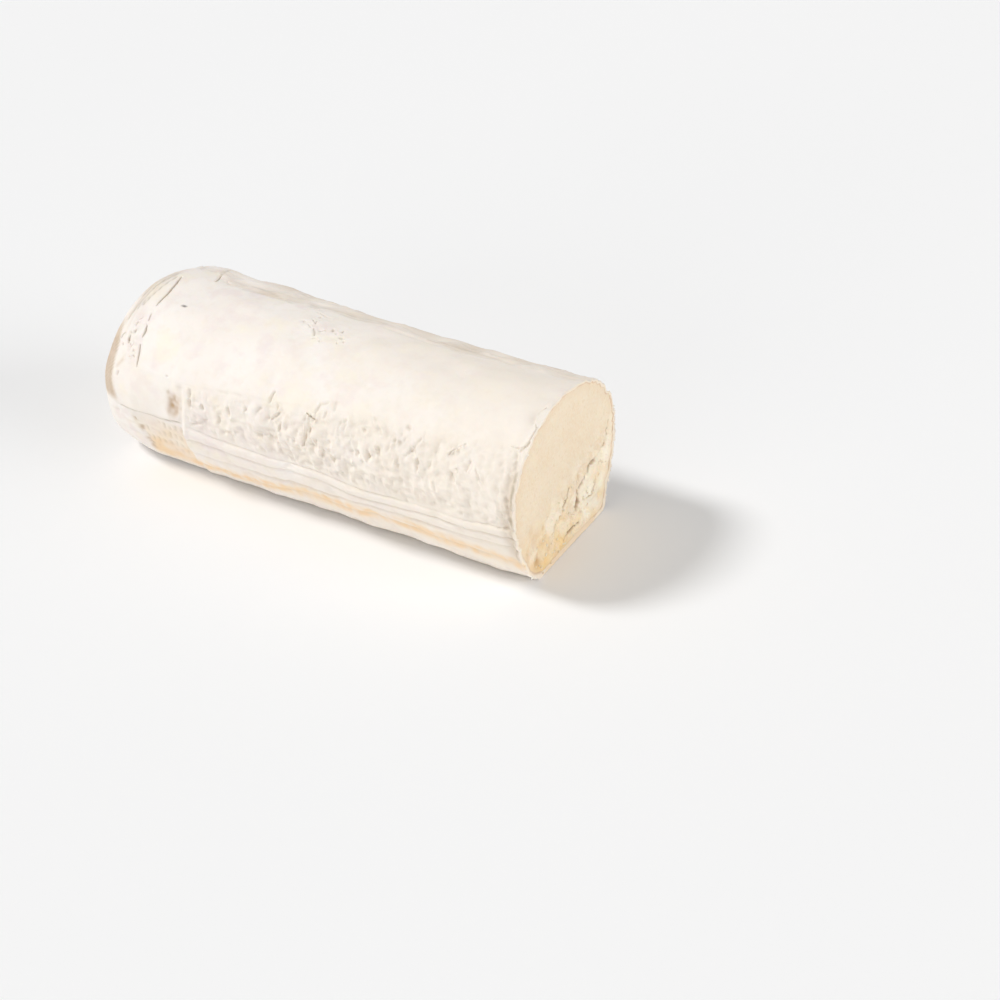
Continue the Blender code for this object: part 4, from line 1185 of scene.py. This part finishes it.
def make_rim_flap(material):
    """The loosened sliver of rind beside the cut, lifted along its back edge."""
    shape = bmesh.new()
    bmesh.ops.create_grid(shape, x_segments=14, y_segments=24, size=1.0)
    grid = np.array([vert.co for vert in shape.verts])
    from_back = (grid[:, 0] + 1) / 2
    up = grid[:, 1]
    width = SLIVER_WIDTH * (1 - 0.55 * up ** 2)
    points, normal = skin_at(SLIVER_END - width * (1 - from_back), SLIVER_GIRTH + SLIVER_HALF_HEIGHT * up)
    curl = SLIVER_CURL * (1 - from_back) ** 2 * (1 - up ** 4)
    lift = SLIVER_LIFT + curl + 0.1 * lumps(points, 1.5, 90.0)
    points = points + normal * lift[:, None]
    for vert, point in zip(shape.verts, points):
        vert.co = point
    bmesh.ops.recalc_face_normals(shape, faces=shape.faces)
    bmesh.ops.solidify(shape, geom=shape.faces[:], thickness=SLIVER_THICKNESS)
    bmesh.ops.recalc_face_normals(shape, faces=shape.faces)
    mesh = mesh_from(shape, "rim_flap")
    add_masks(mesh, {"cream": np.full(len(mesh.vertices), 0.8)})
    shade(mesh)
    return finished_object("rim_flap", mesh, material)


def add_crumb(shape, place, size, rng):
    """A small uneven lump, flattened towards the face that it lies on."""
    made = bmesh.ops.create_icosphere(shape, subdivisions=2, radius=1.0)
    turn = Matrix.Rotation(rng.uniform(0, math.tau), 3, Vector((rng.random(), rng.random(), rng.random())))
    seed = Vector((rng.uniform(0, 50), rng.uniform(0, 50), rng.uniform(0, 50)))
    for vert in made["verts"]:
        bump = 1 + 0.45 * noise.noise(vert.co * 1.3 + seed) + 0.2 * noise.noise(vert.co * 3.1 + seed)
        point = turn @ (vert.co * bump)
        vert.co = Vector((point.x * size[0], point.y * size[1], point.z * size[2])) + Vector(place)


def crumb_piece(name, material, crumbs):
    """Ends a piece of loose bits, as creamy as the parts that they lie on."""
    mesh = mesh_from(crumbs, name)
    for mask, value in (("cream", 0.8), ("pale", 0.15), ("from_rind", 20.0)):
        add_masks(mesh, {mask: np.full(len(mesh.vertices), value)})
    mesh.shade_smooth()
    return finished_object(name, mesh, material)


def make_rim_flakes(material):
    """White flakes of rind along the ragged far edge of the cut, and a few at its near corner."""
    rng = random.Random(7)
    shape = bmesh.new()
    for first, last, count in FLAKE_RUNS:
        for _ in range(count):
            around = rng.uniform(first, last)
            y, z = (float(np.interp(around, RIM_AROUND, RIM_OUTER[:, i])) for i in (0, 1))
            slip = rng.uniform(-0.1, 0.6)
            y -= slip * y / 40
            z -= slip * (z - HEIGHT / 2) / 40
            x = CUT_PLACE + float(cut_lean(y, CUT_PLACE)) - rng.uniform(0.0, 0.7)
            size = rng.uniform(*FLAKE_SIZES)
            add_crumb(shape, (x, y, max(z, 0.4)), (size * 0.7, size * rng.uniform(0.5, 0.9), size), rng)
    return crumb_piece("rim_flakes", material, shape)


def make_paste_crumbs(material):
    """Crumbs that cling to the broken lower part of the cut face."""
    rng = random.Random(11)
    shape = bmesh.new()
    for _ in range(CRUMB_TRIES):
        y = rng.uniform(-26, 34)
        z = rng.uniform(3, 26) + 0.12 * y
        if abs(y) > BASE_HALF_WIDTH + 0.62 * z:
            continue
        point = np.array([[CUT_PLACE, y, z]])
        relief, _ = paste_relief(point[:, 1], point[:, 2], np.array([0.5]), point)
        x = CUT_PLACE + float(cut_lean(y, CUT_PLACE)) - PASTE_RECESS + float(relief[0])
        size = rng.uniform(*CRUMB_SIZES)
        add_crumb(shape, (x + 0.1 * size, y, z), (size * 0.6, size, size * rng.uniform(0.6, 1.0)), rng)
    return crumb_piece("paste_crumbs", material, shape)


def linear(red, green, blue):
    """A colour given as screen values from 0 to 255, as Blender's linear values."""
    def channel(value):
        value = value / 255
        return value / 12.92 if value <= 0.04045 else ((value + 0.055) / 1.055) ** 2.4
    return (channel(red), channel(green), channel(blue), 1.0)


class Finish:
    """A material's node tree, with short calls for the nodes that the finishes share."""

    def __init__(self, name):
        self.material = bpy.data.materials.new(name)
        self.material.use_nodes = True
        self.tree = self.material.node_tree
        self.shader = self.tree.nodes["Principled BSDF"]
        self.places = self.tree.nodes.new("ShaderNodeTexCoord").outputs["Object"]

    def link(self, source, target):
        self.tree.links.new(source, target)

    def mask(self, name):
        node = self.tree.nodes.new("ShaderNodeAttribute")
        node.attribute_name = name
        return node.outputs["Fac"]

    def grain(self, size, detail=3.0):
        """Noise with lumps of that size in millimetres."""
        node = self.tree.nodes.new("ShaderNodeTexNoise")
        node.inputs["Scale"].default_value = 1.0 / (size * MM)
        node.inputs["Detail"].default_value = detail
        self.link(self.places, node.inputs["Vector"])
        return node.outputs["Fac"]

    def between(self, value, low, high, to_low=0.0, to_high=1.0):
        """A value eased from one range to another."""
        node = self.tree.nodes.new("ShaderNodeMapRange")
        node.interpolation_type = "SMOOTHSTEP"
        for name, number in zip(("From Min", "From Max", "To Min", "To Max"), (low, high, to_low, to_high)):
            node.inputs[name].default_value = number
        self.link(value, node.inputs["Value"])
        return node.outputs["Result"]

    def math(self, operation, first, second):
        node = self.tree.nodes.new("ShaderNodeMath")
        node.operation = operation
        for value, socket in zip((first, second), node.inputs):
            if isinstance(value, (int, float)):
                socket.default_value = value
            else:
                self.link(value, socket)
        return node.outputs["Value"]

    def mix(self, share, first, second):
        node = self.tree.nodes.new("ShaderNodeMix")
        node.data_type = "RGBA"
        self.link(share, node.inputs["Factor"])
        for value, name in ((first, "A"), (second, "B")):
            socket = [s for s in node.inputs if s.name == name and s.type == "RGBA"][0]
            if isinstance(value, tuple):
                socket.default_value = value
            else:
                self.link(value, socket)
        return [s for s in node.outputs if s.type == "RGBA"][0]

    def layered(self, colour, layers):
        """Lays colours over one another, each by its share."""
        for share, tint in layers:
            colour = self.mix(share, colour, linear(*tint))
        return colour

    def bump(self, height, distance, under=None):
        node = self.tree.nodes.new("ShaderNodeBump")
        node.inputs["Distance"].default_value = distance * MM
        node.inputs["Strength"].default_value = BUMP_STRENGTH
        self.link(height, node.inputs["Height"])
        if under is not None:
            self.link(under, node.inputs["Normal"])
        return node.outputs["Normal"]

    def surface(self, colour, roughness, fine, coarse, glow):
        """Ends the finish: a grain of roughness, two grains of bump, and how far light goes in.

        roughness is a size and two values, each bump a size, a detail and a height, and glow a weight, a
        radius for each colour and a scale.
        """
        inputs = self.shader.inputs
        self.link(colour, inputs["Base Color"])
        self.link(self.between(self.grain(roughness[0]), 0.3, 0.7, *roughness[1:]), inputs["Roughness"])
        small = self.bump(self.grain(*fine[:2]), fine[2])
        self.link(self.bump(self.grain(*coarse[:2]), coarse[2], small), inputs["Normal"])
        for name, value in zip(("Weight", "Radius", "Scale"), glow):
            inputs["Subsurface " + name].default_value = value
        return self.material


def rind_finish():
    """White mould over cream: matt, a little downy, beige where it is thin and brown where it is worn
    through, with painted shade in its hollows and creases and painted warm bounce light low on its sides.
    """
    rind = Finish("rind_mould")
    cloud = rind.between(rind.grain(26.0, 2.0), 0.38, 0.66, 0.0, 0.45)
    colour = rind.mix(cloud, linear(250, 243, 236), linear(246, 235, 226))
    colour = rind.layered(colour, (
        (rind.between(rind.grain(9.0, 3.0), 0.5, 0.68, 0.0, 0.8), (244, 232, 227)),
        (rind.between(rind.grain(13.0, 3.0), 0.5, 0.68, 0.0, 0.8), (251, 242, 226)),
        (rind.mask("cream"), (246, 236, 223)),
        (rind.between(rind.grain(4.0, 4.0), 0.5, 0.72, 0.0, 0.3), (242, 231, 217)),
        (rind.mask("beige"), (226, 211, 193)),
        # Peach where the rind is thin, and low on the near side partly painted warm bounce light
        (rind.mask("bare"), (248, 219, 180)),
        # Painted shade in hollows, creases, cracks and grooves, and the dark of the wrapper's print
        (rind.math("MULTIPLY", rind.mask("shade_and_print"), 0.85), (176, 163, 138)),
        (rind.mask("brown"), (192, 161, 126)),
        (rind.mask("fleck"), (62, 54, 50)),
        (rind.between(rind.mask("rim"), 0.02, 0.5), (244, 229, 208)),
        (rind.between(rind.mask("ripe"), 0.5, 1.0), (224, 194, 164)),
    ))
    rind.shader.inputs["Sheen Weight"].default_value = 0.06
    rind.shader.inputs["Sheen Roughness"].default_value = 0.5
    return rind.surface(colour, (3.0, 0.58, 0.74), (0.55, 4.0, 0.06), (1.7, 5.0, 0.16),
                        (0.12, (1.0, 0.7, 0.45), 0.9 * MM))


def paste_finish():
    """Cream paste: moist and fine, peach where it has ripened by the rind, paler where it has crumbled."""
    paste = Finish("cream_paste")
    cloud = paste.between(paste.grain(14.0, 3.0), 0.35, 0.68)
    colour = paste.mix(cloud, linear(241, 223, 196), linear(238, 217, 188))
    from_rind = paste.mask("from_rind")
    colour = paste.layered(colour, (
        (paste.between(paste.grain(1.3, 5.0), 0.52, 0.7, 0.0, 0.65), (230, 208, 174)),
        (paste.between(paste.grain(0.9, 2.0), 0.42, 0.66, 0.0, 0.6), (241, 227, 204)),
        (paste.mask("pale"), (255, 244, 224)),
        # Painted warm light reflected from below, low on the cut
        (paste.mask("warm_bounce"), (246, 212, 152)),
        (paste.between(from_rind, 1.2, 5.0, 0.3, 0.0), (234, 207, 174)),
        (paste.between(from_rind, 0.2, 0.9, 0.7, 0.0), (228, 196, 162)),
        (paste.math("MULTIPLY", paste.mask("stain"), 0.8), (206, 162, 108)),
        # Painted shade in the cracks and the pit of the cut face
        (paste.mask("shade_and_print"), (140, 106, 66)),
    ))
    return paste.surface(colour, (2.0, 0.46, 0.64), (0.4, 3.0, 0.05), (1.2, 5.0, 0.12),
                         (0.22, (1.2, 0.7, 0.35), 1.2 * MM))


def make_floor():
    """A plain pale floor, left out of the part's own pieces."""
    shape = bmesh.new()
    bmesh.ops.create_grid(shape, x_segments=1, y_segments=1, size=FLOOR_HALF_SIZE)
    mesh = mesh_from(shape, "floor")
    floor = Finish("pale_floor")
    colour = floor.mix(floor.grain(400.0, 1.0), linear(252, 252, 252), linear(249, 249, 249))
    floor.link(colour, floor.shader.inputs["Base Color"])
    floor.shader.inputs["Roughness"].default_value = 0.8
    mesh.materials.append(floor.material)
    piece = bpy.data.objects.new("floor", mesh)
    bpy.context.scene.collection.objects.link(piece)


def add_far_light(name, towards, spread, share):
    """A soft light from far away. A white surface that faces it gets that share of full brightness."""
    lamp = bpy.data.lights.new(name, "SUN")
    lamp.angle = math.radians(spread)
    lamp.energy = math.pi * share
    light = bpy.data.objects.new(name, lamp)
    light.rotation_euler = Vector(towards).to_track_quat("Z", "Y").to_euler()
    bpy.context.scene.collection.objects.link(light)


def light_studio():
    """A plain bright sky and three soft lights from far away."""
    world = bpy.data.worlds.new("studio")
    bpy.context.scene.world = world
    world.use_nodes = True
    background = world.node_tree.nodes["Background"]
    background.inputs["Color"].default_value = (1.0, 1.0, 1.0, 1.0)
    background.inputs["Strength"].default_value = SKY_BRIGHTNESS
    for lamp in LAMPS:
        add_far_light(*lamp)
    bpy.context.scene.view_settings.view_transform = "Standard"


def place_camera():
    """The photograph's view: a long lens from above the cut, turned a little about its own axis."""
    azimuth, elevation = CAMERA_AZIMUTH, CAMERA_ELEVATION
    back = Vector((math.sin(azimuth) * math.cos(elevation), -math.cos(azimuth) * math.cos(elevation),
                   math.sin(elevation)))
    level = Vector((math.cos(azimuth), math.sin(azimuth), 0.0))
    rise = back.cross(level)
    right = math.cos(CAMERA_ROLL) * level + math.sin(CAMERA_ROLL) * rise
    up = math.cos(CAMERA_ROLL) * rise - math.sin(CAMERA_ROLL) * level
    per_pixel = CAMERA_DISTANCE / FOCAL_PIXELS
    place = Vector((0.0, 0.0, HEIGHT / 2)) + Vector(TO_MIDDLE) + back * CAMERA_DISTANCE
    place -= right * (LOG_MIDDLE_PIXEL[0] - PICTURE_MIDDLE) * per_pixel
    place += up * (LOG_MIDDLE_PIXEL[1] - PICTURE_MIDDLE) * per_pixel
    lens = bpy.data.cameras.new("camera")
    lens.sensor_width = SENSOR_WIDTH
    lens.lens = FOCAL_PIXELS * SENSOR_WIDTH / (2 * PICTURE_MIDDLE)
    lens.clip_start = 0.01
    camera = bpy.data.objects.new("camera", lens)
    axes = Matrix((right, up, back)).transposed().to_4x4()
    camera.matrix_world = Matrix.Translation(place * MM) @ axes
    bpy.context.scene.collection.objects.link(camera)
    bpy.context.scene.camera = camera


place_camera()
light_studio()
make_floor()
rind_material = rind_finish()
paste_material = paste_finish()
make_rind(rind_material)
make_paste(paste_material)
make_rim_flap(rind_material)
make_rim_flakes(rind_material)
make_paste_crumbs(paste_material)
